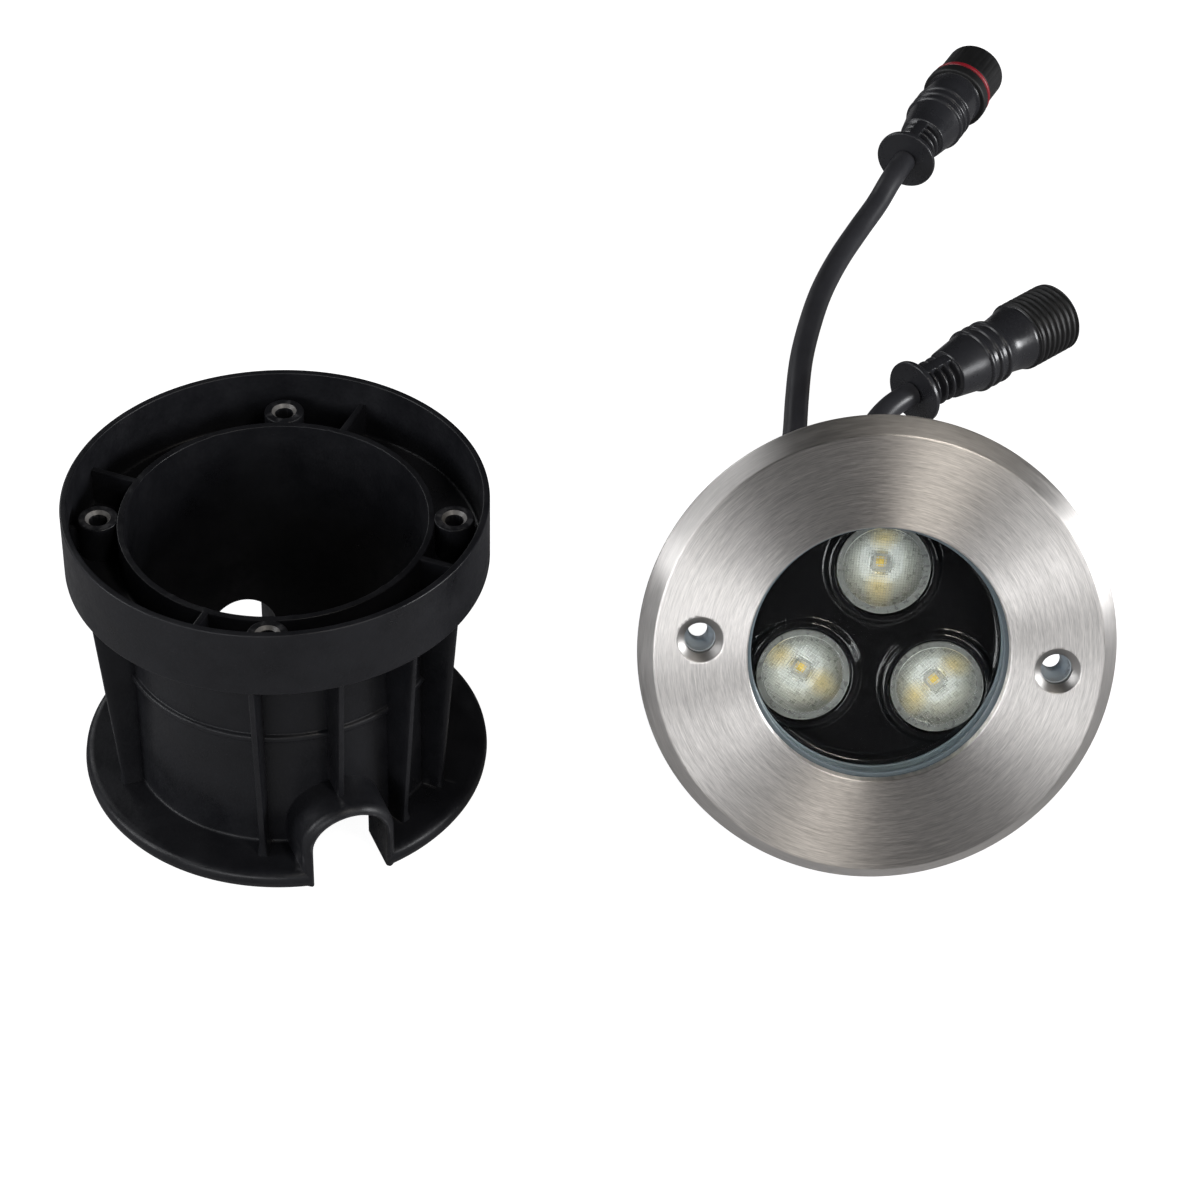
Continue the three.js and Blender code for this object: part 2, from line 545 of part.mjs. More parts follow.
function lampHousing() {
  const shell = turned(
    atDepths([
      [FLANGE_R, FLANGE_S],
      [FLANGE_R, FLANGE_END_S],
      [HUB_R, FLANGE_END_S],
      [HUB_R, SEAT_DEPTH],
      [BODY_FRONT_R, SEAT_DEPTH],
      [BODY_REAR_R, HOUSING_END_S],
      [REAR_CAVITY_R, HOUSING_END_S],
      [REAR_CAVITY_R, FLOOR_S + FLOOR_T],
      [WIRE_HOLE_R, FLOOR_S + FLOOR_T],
      [WIRE_HOLE_R, FLOOR_S],
      [CAVITY_R, FLOOR_S],
      [CAVITY_R, SHOULDER_S],
      [GLASS_R + GAP, SHOULDER_S],
      [GLASS_R + GAP, FLANGE_S],
    ]),
    LARGE,
  );
  const additions = [];
  const holes = [];
  for (const side of [-1, 1]) {
    const x = side * SCREW_PITCH_R;
    additions.push(rodAt(HOUSING_BOSS_R, FLANGE_END_S - 1, SEAT_DEPTH, MIDDLE).translate(x, 0, 0));
    holes.push(rodAt(GROMMET_R + GAP, FLANGE_S - 1, SEAT_DEPTH + 1, MIDDLE).translate(x, 0, 0));
    const standoff = rodAt(STANDOFF_R, FLOOR_S + FLOOR_T - 1, DRIVER_S - GAP, SMALL);
    additions.push(standoff.translate(0, side * STANDOFF_PITCH_R, 0));
  }
  for (const degrees of CLAMP_SCREW_ANGLES) {
    const [x, y] = turn(SCREW_PITCH_R, degrees);
    const [px, py] = turn(COVER_SCREW_PITCH_R, degrees);
    holes.push(rodAt(SCREW_HOLE_R, FLANGE_S - 1, FLANGE_END_S + 1, SMALL).translate(x, y, 0));
    const web = block(
      [COVER_SCREW_PITCH_R, -1, GAP - COVER_FRONT_S],
      [REAR_CAVITY_R + 1, 1, GAP + POST_L - COVER_FRONT_S],
    );
    additions.push(
      join(
        rodAt(POST_R, COVER_FRONT_S - GAP - POST_L, COVER_FRONT_S - GAP, SMALL).translate(px, py, 0),
        web.rotateZ(radians(degrees)),
      ),
    );
    const hole = rodAt(SCREW_HOLE_R, COVER_FRONT_S - POST_L + 1, COVER_FRONT_S + 1, SMALL);
    holes.push(hole.translate(px, py, 0));
  }
  return cut(join(shell, ...additions), ...holes);
}

// Centres of the lenses, the first one at the top of the window.
const lensCentres = Array.from({ length: EMITTERS }, (_, i) => turn(LENS_PITCH_R, 90 + (i * 360) / EMITTERS));

function lens() {
  const foot = LENS_S + LENS_T;
  return turned(
    atDepths([
      [0, LENS_S],
      [LENS_R - 0.4, LENS_S],
      [LENS_R, LENS_S + 0.4],
      [LENS_R, LENS_S + LENS_RIM_T],
      [LENS_R - HOLDER_WALL - 2 * GAP, LENS_S + LENS_RIM_T],
      [LENS_WAIST_R, foot - LENS_WAIST_T],
      [LENS_FOOT_R, foot],
      [EMITTER_POCKET_R, foot],
      [EMITTER_POCKET_R - 0.4, foot - EMITTER_POCKET_T + 0.6],
      [0, foot - EMITTER_POCKET_T],
    ]),
    MIDDLE,
  );
}

const lensHolder = () =>
  ringAt(LENS_R - HOLDER_WALL - GAP, LENS_R - GAP, HOLDER_S, HOLDER_END_S, MIDDLE);

function innerCover() {
  const collarR = LENS_R + 2 * GAP;
  const front = SHOULDER_S + GAP;
  const back = COVER_PLATE_S + COVER_PLATE_T;
  const edge = ringAt(CAVITY_R - GAP - COVER_EDGE_WALL, CAVITY_R - GAP, front, back, LARGE);
  const disc = rodAt(CAVITY_R - 2 * GAP, COVER_PLATE_S, back, LARGE);
  const collars = lensCentres.map(([x, y]) =>
    ringAt(collarR, collarR + COLLAR_WALL, front, COVER_PLATE_S + 0.5, MIDDLE).translate(x, y, 0),
  );
  const wells = lensCentres.map(([x, y]) => rodAt(collarR, front - 1, back + 1, MIDDLE).translate(x, y, 0));
  return cut(join(disc, edge, ...collars), ...wells);
}

function emitter() {
  const face = LED_BOARD_S - GAP - EMITTER_T;
  const half = EMITTER_W / 2;
  const dome = turned(
    atDepths([
      [0, face - EMITTER_DOME_R],
      [EMITTER_DOME_R * 0.65, face - EMITTER_DOME_R * 0.75],
      [EMITTER_DOME_R, face],
      [EMITTER_DOME_R, face + EMITTER_T / 2],
      [0, face + EMITTER_T / 2],
    ]),
    SMALL,
  );
  return join(block([-half, -half, -face - EMITTER_T], [half, half, -face]), dome);
}

const ledBoard = () =>
  ringAt(WIRE_HOLE_R, CAVITY_R - GAP, LED_BOARD_S, LED_BOARD_S + LED_BOARD_T, LARGE);
const thermalPad = () => ringAt(WIRE_HOLE_R + 1, CAVITY_R - 1 - 2 * GAP, PAD_S, PAD_S + PAD_T, MIDDLE);

// The driver: a round board with its coil, capacitor, bridge and terminal on the rear side.
function driverBoard() {
  const back = -DRIVER_S - DRIVER_T;
  const coil = rod(4.5, back - 5.5, back + 0.5, SMALL).translate(0, 11, 0);
  const capacitor = rod(3.6, back - 8, back + 0.5, SMALL).translate(0, -11.5, 0);
  const bridge = block([-4.2, -2.6, back - 2.2], [4.2, 2.6, back + 0.5]);
  const terminal = block([-5, -20.8, back - 5], [5, -16, back + 0.5]);
  return join(rodAt(DRIVER_R, DRIVER_S, DRIVER_S + DRIVER_T, MIDDLE), coil, capacitor, bridge, terminal);
}

function rearCover() {
  const body = turned(
    atDepths([
      [0, COVER_FRONT_S],
      [SPIGOT_R, COVER_FRONT_S],
      [SPIGOT_R, COVER_S],
      [BODY_REAR_R, COVER_S],
      [BODY_REAR_R, BODY_L],
      [0, BODY_L],
    ]),
    LARGE,
  );
  const holes = [];
  for (const side of [-1, 1]) {
    const x = (side * GLAND_SPACING) / 2;
    holes.push(rodAt(GLAND_SPIGOT_R + GAP, COVER_FRONT_S - 1, BODY_L + 1, MIDDLE).translate(x, 0, 0));
  }
  for (const degrees of CLAMP_SCREW_ANGLES) {
    const [x, y] = turn(COVER_SCREW_PITCH_R, degrees);
    holes.push(rodAt(SCREW_HOLE_R, COVER_FRONT_S - 1, BODY_L + 1, SMALL).translate(x, y, 0));
    holes.push(rodAt(SCREW_HEAD_R + GAP, BODY_L - SCREW_HEAD_T - GAP, BODY_L + 1, SMALL).translate(x, y, 0));
  }
  return cut(body, ...holes);
}

// A small round-headed screw: its head's underside is at one depth, and it points to lower depths.
function screw(headDepth, length) {
  return turned(
    atDepths([
      [0, headDepth + SCREW_HEAD_T],
      [SCREW_HEAD_R - 0.5, headDepth + SCREW_HEAD_T],
      [SCREW_HEAD_R, headDepth + SCREW_HEAD_T / 2],
      [SCREW_HEAD_R, headDepth],
      [SCREW_R, headDepth],
      [SCREW_R, headDepth - length + 0.8],
      [0, headDepth - length],
    ]),
    SMALL,
  );
}

const grommet = () =>
  turned(
    atDepths([
      [GROMMET_FRONT_R, FLANGE_S],
      [GROMMET_R, FLANGE_S],
      [GROMMET_R, SEAT_DEPTH - GAP],
      [GROMMET_REAR_R, SEAT_DEPTH - GAP],
      [GROMMET_REAR_R, SEAT_DEPTH - 4],
      [GROMMET_FRONT_R, SEAT_DEPTH - 6],
    ]),
    MIDDLE,
  );

function glandBody() {
  const hexEnd = GLAND_S + GLAND_HEX_T;
  const stem = ringAt(GLAND_BORE_R, GLAND_SPIGOT_R, COVER_FRONT_S + 1, GLAND_S + 1, MIDDLE);
  const collar = ringAt(GLAND_BORE_R, GLAND_COLLAR_R, hexEnd - 1, SEAL_END_S - GAP, MIDDLE);
  const bore = rodAt(GLAND_BORE_R, GLAND_S - 1, hexEnd + 1, MIDDLE);
  const hex = cut(hexagon(GLAND_FLATS, -hexEnd, -GLAND_S), bore);
  return join(stem, hex, collar);
}

const glandSeal = () =>
  ringAt(CORD_R + GAP, GLAND_BORE_R - GAP, GLAND_S + 1, SEAL_END_S - GAP, MIDDLE);

// The dome nut: a hexagon that runs out into a rounded nose.
function glandNut() {
  const end = NUT_S + NUT_L;
  const dome = turned(
    atDepths([
      [0, NUT_S],
      [GLAND_FLATS / Math.sqrt(3) - 0.4, NUT_S],
      [GLAND_FLATS / Math.sqrt(3) + 0.2, NUT_S + 0.8],
      [GLAND_FLATS / Math.sqrt(3) + 0.2, end - 4.6],
      [NUT_NOSE_R + 1.8, end - 2],
      [NUT_NOSE_R, end],
      [0, end],
    ]),
    MIDDLE,
  );
  const thread = rodAt(GLAND_COLLAR_R + GAP, NUT_S - 1, SEAL_END_S, MIDDLE);
  const mouth = rodAt(CORD_R + GAP + 0.1, NUT_S, end + 1, MIDDLE);
  return cut(common(dome, hexagon(GLAND_FLATS, -end, -NUT_S)), thread, mouth);
}

// The jacketed end of a tail between the driver board and the gland's seal.
const leadCore = () => rodAt(CORD_R - 0.05, DRIVER_S + DRIVER_T + GAP, SEAL_END_S - GAP, SMALL);

// ---------------------------------------------------------------------------------------------
// In-line connectors, built along +Z from the cable end
// ---------------------------------------------------------------------------------------------

const reliefEnd = DISC_T + RELIEF_L;
const coneEnd = reliefEnd + CONE_L;
const gripEnd = coneEnd + GRIP_RINGS * GRIP_RING_PITCH;

// The outline that plug and socket share, from the cable end to the last grip ring.
function gripOutline() {
  const rings = [];
  for (let i = 0; i < GRIP_RINGS; i++) {
    const z = coneEnd + i * GRIP_RING_PITCH;
    rings.push([GRIP_R, z], [GRIP_R + GRIP_RING_H, z + 0.8]);
    rings.push([GRIP_R + GRIP_RING_H, z + GRIP_RING_PITCH - 1], [GRIP_R, z + GRIP_RING_PITCH - 0.3]);
  }
  return [[0, 0], [DISC_R, 0], [DISC_R, DISC_T], [RELIEF_R, DISC_T], [RELIEF_R, reliefEnd], ...rings];
}

// Rows of slots on both sides of the strain relief, with a spine left between them.
function reliefSlots() {
  const pitch = RELIEF_L / RELIEF_SLOTS;
  return Array.from({ length: RELIEF_SLOTS }, (_, i) => {
    const z = DISC_T + (i + 0.5) * pitch;
    const groove = tube(CORD_R + SLOT_FLOOR, RELIEF_R + 1, z - SLOT_W / 2, z + SLOT_W / 2, CONNECTOR);
    const spine = block([-RELIEF_R - 2, -SPINE_W / 2, z - SLOT_W], [RELIEF_R + 2, SPINE_W / 2, z + SLOT_W]);
    return cut(groove, spine);
  });
}

function plugBody() {
  const collarStart = CONNECTOR_L - PLUG_NOSE_L - 2 * PLUG_SEAL_R - 2 * GAP - COLLAR_L;
  const collarEnd = collarStart + COLLAR_L;
  const noseStart = CONNECTOR_L - PLUG_NOSE_L;
  const bored = CONNECTOR_L - PLUG_BORE_L - PLUG_CARRIER_L;
  const outline = [
    ...gripOutline(),
    [GRIP_R, collarStart],
    [COLLAR_R, collarStart],
    [COLLAR_R, collarEnd],
    [PLUG_NECK_R, collarEnd],
    [PLUG_NECK_R, noseStart],
    [PLUG_NOSE_R, noseStart],
    [PLUG_NOSE_R, CONNECTOR_L],
    [PLUG_BORE_R, CONNECTOR_L],
    [PLUG_BORE_R, bored],
    [0, bored],
  ];
  return cut(turned(outline, CONNECTOR), ...reliefSlots());
}

function plugSeal() {
  const centre = CONNECTOR_L - PLUG_NOSE_L - GAP - PLUG_SEAL_R;
  const radius = PLUG_NECK_R + GAP + PLUG_SEAL_R;
  return turned(arc(radius, centre, PLUG_SEAL_R, 0, 300, 5), MIDDLE);
}

function socketBody() {
  const bored = CONNECTOR_L - SOCKET_BORE_L - SOCKET_CARRIER_L;
  const threadStart = CONNECTOR_L - THREAD_RUNOUT - THREAD_TURNS * THREAD_PITCH;
  const thread = [];
  for (let i = 0; i < THREAD_TURNS; i++) {
    const z = threadStart + i * THREAD_PITCH;
    thread.push([THREAD_R - THREAD_H, z], [THREAD_R, z + THREAD_PITCH / 2]);
  }
  const outline = [
    ...gripOutline(),
    [SOCKET_WAIST_R, gripEnd + 1],
    [GRIP_R + 0.6, threadStart - 2.5],
    [GRIP_R + 0.8, threadStart - THREAD_RUNOUT],
    [THREAD_R - THREAD_H, threadStart - THREAD_RUNOUT],
    ...thread,
    [THREAD_R - THREAD_H, CONNECTOR_L - THREAD_RUNOUT],
    [THREAD_R - THREAD_H, CONNECTOR_L],
    [SOCKET_BORE_R, CONNECTOR_L],
    [SOCKET_BORE_R, bored],
    [0, bored],
  ];
  return cut(turned(outline, CONNECTOR), ...reliefSlots());
}

// The insert that holds the contacts at the bottom of a connector's bore.
function contactCarrier(boreR, boreL, length, holeR) {
  const face = CONNECTOR_L - boreL;
  const insert = rod(boreR - GAP, face - length + GAP, face, CONNECTOR);
  const holes = [-1, 1].map((side) =>
    rod(holeR, face - length + 1, face + 1, SMALL).translate(0, (side * PIN_SPACING) / 2, 0),
  );
  return cut(insert, ...holes);
}

function contactPin(side) {
  const face = CONNECTOR_L - PLUG_BORE_L;
  const foot = face - PLUG_CARRIER_L + 1 + GAP;
  return rod(PIN_R, foot, face + PIN_L, SMALL).translate(0, (side * PIN_SPACING) / 2, 0);
}

function contactTube(side) {
  const face = CONNECTOR_L - SOCKET_BORE_L;
  const inner = PIN_R + CONTACT_PLAY;
  return tube(inner, inner + CONTACT_WALL, face - SOCKET_CARRIER_L + 1 + GAP, face - 0.5, SMALL)
    .translate(0, (side * PIN_SPACING) / 2, 0);
}

// A tail: a round section carried along a smooth line through its route.
function tail(route, steps) {
  const points = route.map((point) => new THREE.Vector3(...point));
  const line = new THREE.CatmullRomCurve3(points, false, "centripetal");
  const section = new THREE.Shape(
    Array.from({ length: CORD_SIDES }, (_, i) => new THREE.Vector2(...turn(CORD_R, (i * 360) / CORD_SIDES))),
  );
  return new THREE.ExtrudeGeometry(section, { steps, extrudePath: line, bevelEnabled: false });
}

// ---------------------------------------------------------------------------------------------
// Assembly
// ---------------------------------------------------------------------------------------------

const group = new THREE.Group();

const sleeveGroup = new THREE.Group();
sleeveGroup.position.set(SLEEVE_X, 0, 0);
addPart(sleeveGroup, "mounting_sleeve", mountingSleeve(), MATERIALS.sleevePlastic);

const lampGroup = new THREE.Group();
lampGroup.position.set(LAMP_X, LAMP_SETBACK, LAMP_Z);
lampGroup.rotation.set(Math.PI / 2 - LAMP_TILT, 0, radians(LAMP_ROLL));
addPart(lampGroup, "trim_ring", trimRing(), MATERIALS.brushedSteel);
addPart(
  lampGroup,
  "front_glass_gasket",
  ringAt(GASKET_R, GLASS_R, FLANGE_S, FLANGE_S + FRONT_GASKET_T, LARGE),
  MATERIALS.greySilicone,
);
addPart(lampGroup, "window_glass", rodAt(GLASS_R, GLASS_S, GLASS_S + GLASS_T, LARGE), MATERIALS.clearGlass);
addPart(
  lampGroup,
  "rear_glass_gasket",
  ringAt(GASKET_R, GLASS_R, REAR_GASKET_S, REAR_GASKET_S + REAR_GASKET_T, LARGE),
  MATERIALS.greySilicone,
);
addPart(lampGroup, "inner_cover", innerCover(), MATERIALS.glossBlack);
lensCentres.forEach(([x, y], i) => {
  const number = i + 1;
  addPart(lampGroup, `lens_${number}`, lens().translate(x, y, 0), MATERIALS.lensPlastic);
  addPart(lampGroup, `lens_holder_${number}`, lensHolder().translate(x, y, 0), MATERIALS.holderPlastic);
  addPart(lampGroup, `emitter_${number}`, emitter().translate(x, y, 0), MATERIALS.phosphor);
});
addPart(lampGroup, "led_board", ledBoard(), MATERIALS.boardMask);
addPart(lampGroup, "thermal_pad", thermalPad(), MATERIALS.thermalPad);
addPart(lampGroup, "lamp_housing", lampHousing(), MATERIALS.castAluminium);
addPart(lampGroup, "driver_board", driverBoard(), MATERIALS.driverMask);
addPart(lampGroup, "rear_cover", rearCover(), MATERIALS.coverPlastic);
addPart(
  lampGroup,
  "rear_cover_seal",
  ringAt(SPIGOT_R + GAP, BODY_REAR_R - GAP, COVER_SEAL_S, COVER_SEAL_S + COVER_SEAL_T, LARGE),
  MATERIALS.sealRubber,
);
CLAMP_SCREW_ANGLES.forEach((degrees, i) => {
  const [x, y] = turn(SCREW_PITCH_R, degrees);
  const [px, py] = turn(COVER_SCREW_PITCH_R, degrees);
  const clampScrew = screw(FLANGE_END_S + GAP, FLANGE_END_S - PLATE_T / 3);
  const coverScrew = screw(BODY_L - SCREW_HEAD_T, COVER_T + COVER_SPIGOT_T + POST_L / 2);
  addPart(lampGroup, `ring_screw_${i + 1}`, clampScrew.translate(x, y, 0), MATERIALS.screwSteel);
  addPart(lampGroup, `cover_screw_${i + 1}`, coverScrew.translate(px, py, 0), MATERIALS.screwSteel);
});
for (const [side, number] of [[-1, 1], [1, 2]]) {
  const shift = (side * GLAND_SPACING) / 2;
  const piece = grommet().translate(side * SCREW_PITCH_R, 0, 0);
  addPart(lampGroup, `hole_grommet_${number}`, piece, MATERIALS.greySilicone);
  addPart(lampGroup, `gland_body_${number}`, glandBody().translate(shift, 0, 0), MATERIALS.glandPlastic);
  addPart(lampGroup, `gland_seal_${number}`, glandSeal().translate(shift, 0, 0), MATERIALS.sealRubber);
  addPart(lampGroup, `gland_nut_${number}`, glandNut().translate(shift, 0, 0), MATERIALS.glandPlastic);
  addPart(lampGroup, `lead_core_${number}`, leadCore().translate(shift, 0, 0), MATERIALS.cordRubber);
}

// Connectors lie on the bench on their widest ring.
function laidConnector([x, y], radius, heading) {
  const laid = new THREE.Group();
  laid.position.set(x, y, radius);
  laid.rotation.set(0, Math.PI / 2, radians(heading), "ZYX");
  return laid;
}

const plugGroup = laidConnector(PLUG_BASE, COLLAR_R, PLUG_HEADING);
addPart(plugGroup, "plug_body", plugBody(), MATERIALS.connectorRubber);
addPart(plugGroup, "plug_seal", plugSeal(), MATERIALS.redSeal);
addPart(
  plugGroup,
  "plug_carrier",
  contactCarrier(PLUG_BORE_R, PLUG_BORE_L, PLUG_CARRIER_L, PIN_R + GAP),
  MATERIALS.carrierPlastic,
);

const socketGroup = laidConnector(SOCKET_BASE, THREAD_R, SOCKET_HEADING);
addPart(socketGroup, "socket_body", socketBody(), MATERIALS.connectorRubber);
addPart(
  socketGroup,
  "socket_carrier",
  contactCarrier(SOCKET_BORE_R, SOCKET_BORE_L, SOCKET_CARRIER_L, PIN_R + CONTACT_PLAY + CONTACT_WALL + GAP),
  MATERIALS.carrierPlastic,
);
for (const [side, number] of [[-1, 1], [1, 2]]) {
  addPart(plugGroup, `plug_pin_${number}`, contactPin(side), MATERIALS.contactBrass);
  addPart(socketGroup, `socket_contact_${number}`, contactTube(side), MATERIALS.contactBrass);
}

const tailGroup = new THREE.Group();
addPart(tailGroup, "plug_tail", tail(PLUG_ROUTE, PLUG_ROUTE_STEPS), MATERIALS.cordRubber);
addPart(tailGroup, "socket_tail", tail(SOCKET_ROUTE, SOCKET_ROUTE_STEPS), MATERIALS.cordRubber);

group.add(sleeveGroup, lampGroup, plugGroup, socketGroup, tailGroup);

export default group;
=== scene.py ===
"""Recessed pond light taken apart beside its mounting sleeve.

Each sub-assembly is a class that keeps its sizes in millimetres along its own axes, and a Placement puts its
points into the part's frame in metres. Surfaces are grids over two parameters, worked out with numpy.
"""

import json
import logging
import math
from dataclasses import dataclass
from enum import Enum
from typing import Callable, Iterable, Sequence

import bpy
import numpy as np
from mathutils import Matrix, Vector


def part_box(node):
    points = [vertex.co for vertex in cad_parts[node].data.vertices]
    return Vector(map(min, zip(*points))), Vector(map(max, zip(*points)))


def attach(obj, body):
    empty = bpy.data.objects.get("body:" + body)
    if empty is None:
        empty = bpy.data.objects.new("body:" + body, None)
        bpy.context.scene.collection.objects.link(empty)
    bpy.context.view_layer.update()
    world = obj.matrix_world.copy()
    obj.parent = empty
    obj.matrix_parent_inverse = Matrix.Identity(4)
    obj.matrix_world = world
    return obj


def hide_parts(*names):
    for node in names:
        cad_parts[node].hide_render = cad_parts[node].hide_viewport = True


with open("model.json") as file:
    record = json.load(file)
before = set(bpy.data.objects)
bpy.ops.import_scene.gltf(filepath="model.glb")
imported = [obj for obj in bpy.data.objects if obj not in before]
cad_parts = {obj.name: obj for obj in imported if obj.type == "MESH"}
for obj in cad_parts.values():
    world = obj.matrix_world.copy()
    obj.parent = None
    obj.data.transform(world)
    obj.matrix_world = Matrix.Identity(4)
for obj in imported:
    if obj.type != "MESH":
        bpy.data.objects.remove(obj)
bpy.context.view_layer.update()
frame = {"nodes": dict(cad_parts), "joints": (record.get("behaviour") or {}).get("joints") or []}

LOG = logging.getLogger("pond_light")
MM = 0.001
TINY = 1e-7
SMOOTH_BELOW = math.radians(34)  # faces that meet at less than this are shaded as one surface
FINE = 160  # steps round large pieces
MEDIUM = 96  # steps round lenses and connectors
COARSE = 48  # steps round screws and contacts

Point = Sequence[float]
Array = np.ndarray


class Body(Enum):
    """The bodies that pieces ride on."""

    SLEEVE = "sleeve"
    LAMP = "lamp"
    NUT_1 = "nut_1"
    NUT_2 = "nut_2"


class Union(Enum):
    """How two solids are combined."""

    JOIN = "UNION"
    CUT = "DIFFERENCE"
    COMMON = "INTERSECT"


# ---------------------------------------------------------------------------------------------
# Placing and surfaces
# ---------------------------------------------------------------------------------------------


@dataclass(frozen=True)
class Placement:
    """Where a sub-assembly's own axes lie in the part's frame."""

    origin: tuple[float, float, float]
    x: tuple[float, float, float] = (1.0, 0.0, 0.0)
    y: tuple[float, float, float] = (0.0, 1.0, 0.0)
    z: tuple[float, float, float] = (0.0, 0.0, 1.0)

    def put(self, points: Array) -> Array:
        """Own millimetres to the frame's metres: origin plus each coordinate times its axis."""
        return np.asarray(self.origin) + MM * (points @ np.array([self.x, self.y, self.z]))

    def own_centres(self, piece: bpy.types.Object) -> Array:
        """The centres of a piece's faces in own coordinates, in millimetres."""
        axes = np.array([self.x, self.y, self.z])
        return (face_centres(piece) - np.asarray(self.origin)) / MM @ axes.T

    def moved(self, x: float = 0.0, y: float = 0.0, z: float = 0.0) -> "Placement":
        """The same axes with the origin moved along them, in millimetres."""
        return Placement(tuple(self.put(np.array([x, y, z]))), self.x, self.y, self.z)

    def turned(self, degrees: float) -> "Placement":
        """The same origin and z, with x and y turned about z."""
        c, s = math.cos(math.radians(degrees)), math.sin(math.radians(degrees))
        x, y = np.array(self.x), np.array(self.y)
        return Placement(self.origin, tuple(c * x + s * y), tuple(c * y - s * x), self.z)


def unit(vectors: Array) -> Array:
    """Vectors divided by their lengths."""
    return vectors / np.maximum(np.linalg.norm(vectors, axis=-1, keepdims=True), TINY)


def ease(value: Array | float, low: float, high: float) -> Array:
    """A smooth step: 0 below low, 1 above high, and 3t^2 - 2t^3 between them."""
    t = np.clip((np.asarray(value, float) - low) / (high - low), 0, 1)
    return t * t * (3 - 2 * t)


def rounded(corners: Sequence[Point], closed: bool = True, steps: int = 5) -> Array:
    """An outline whose corners are rounded.

    Each corner is replaced by the parabola (1-w)^2 A + 2w(1-w) P + w^2 B, where A and B lie on its two sides
    at the corner's own distance.

    Args:
        corners: (radius, height) or (radius, height, distance) for each corner.
        closed: Whether the last corner joins the first.
        steps: Points on each rounded corner.

    Returns:
        The outline's points, one row each.
    """
    point = np.array([c[:2] for c in corners], float)
    reach = np.array([c[2] if len(c) > 2 else 0.0 for c in corners])[:, None]
    before, after = np.roll(point, 1, 0), np.roll(point, -1, 0)
    if not closed:
        before[0], after[-1] = point[0], point[-1]
    start, end = point + reach * unit(before - point), point + reach * unit(after - point)
    w = np.linspace(0, 1, steps)[None, :, None]
    line = (1 - w) ** 2 * start[:, None] + 2 * w * (1 - w) * point[:, None] + w**2 * end[:, None]
    line = line.reshape(-1, 2)
    keep = np.linalg.norm(np.diff(line, axis=0, prepend=line[-1:] if closed else line[:1] - 1), axis=1) > TINY
    return line[keep]


def dense(outline: Array, step: float) -> Array:
    """An open outline with points added, so that none of its pieces is longer than step."""
    length = np.linalg.norm(np.diff(outline, axis=0), axis=1)
    count = np.maximum(1, np.ceil(length / step)).astype(int)
    index = np.repeat(np.arange(len(count)), count)
    share = (np.arange(count.sum()) - np.repeat(np.cumsum(count) - count, count)) / count[index]
    inner = outline[index] + share[:, None] * np.diff(outline, axis=0)[index]
    return np.vstack([inner, outline[-1:]])


def revolve(
    outline: Array, sides: int, radius: Callable[[Array, Array, Array], Array] | None = None
) -> Array:
    """An outline carried round the z axis: (r cos t, r sin t, z).

    Args:
        outline: Rows of (radius, height).
        sides: Steps round the axis.
        radius: Where given, turns (r, t, z) into the radius at that place.

    Returns:
        Points on a grid, angle by outline.
    """
    t = np.arange(sides)[:, None] * (2 * np.pi / sides)
    r, z = np.broadcast_arrays(outline[None, :, 0], outline[None, :, 1])
    r = np.broadcast_to(r, (sides, len(outline)))
    z = np.broadcast_to(z, (sides, len(outline)))
    if radius is not None:
        r = radius(r, t, z)
    return np.stack([r * np.cos(t), r * np.sin(t), z], axis=-1)


def grid_object(name: str, points: Array, wrap_v: bool = False, wrap_u: bool = True) -> bpy.types.Object:
    """Makes a mesh object from a grid of points in metres.

    Four neighbouring points make a face. A first or last row that is all one point becomes one vertex, with
    triangles round it. The UV map "along" holds the share of the way round and the length down the rows, in
    metres.

    Args:
        name: The piece's name.
        points: Grid of points, first parameter by second parameter by 3.
        wrap_v: Whether the last row joins the first.
        wrap_u: Whether the last column joins the first.

    Returns:
        The new object, linked to the scene.
    """
    nu, nv = points.shape[:2]
    number = np.arange(nu * nv).reshape(nu, nv)
    for row in (0, -1):
        if not wrap_v and np.ptp(points[:, row], axis=0).max() < TINY:
            number[:, row] = number[0, row]
    used, number = np.unique(number, return_inverse=True)
    number = number.reshape(nu, nv)
    u = np.arange(nu if wrap_u else nu - 1)
    v = np.arange(nv if wrap_v else nv - 1)
    step_u = np.array([0, 1, 1, 0])
    step_v = np.array([0, 0, 1, 1])
    at_u = (u[:, None, None] + step_u) + 0 * v[None, :, None]
    at_v = (v[None, :, None] + step_v) + 0 * u[:, None, None]
    corner = number[at_u % nu, at_v % nv].reshape(-1, 4)
    length = np.linalg.norm(np.diff(points[0], axis=0, append=points[:1, 0]), axis=-1)
    down = np.concatenate([[0], np.cumsum(length)])
    uv = np.stack([at_u / nu, down[at_v]], axis=-1).reshape(-1, 4, 2)
    keep = np.ones(corner.shape, bool)
    keep[:, 1] = corner[:, 0] != corner[:, 1]
    keep[:, 3] = corner[:, 2] != corner[:, 3]
    total = keep.sum(1)
    mesh = bpy.data.meshes.new(name)
    mesh.vertices.add(len(used))
    mesh.vertices.foreach_set("co", points.reshape(-1, 3)[used].astype(np.float32).ravel())
    mesh.loops.add(int(total.sum()))
    mesh.loops.foreach_set("vertex_index", corner[keep].astype(np.int32))
    mesh.polygons.add(len(total))
    mesh.polygons.foreach_set("loop_start", (np.cumsum(total) - total).astype(np.int32))
    mesh.update(calc_edges=True)
    mesh.uv_layers.new(name="along").data.foreach_set("uv", uv[keep].astype(np.float32).ravel())
    mesh.validate()
    made = bpy.data.objects.new(name, mesh)
    bpy.context.scene.collection.objects.link(made)
    return made


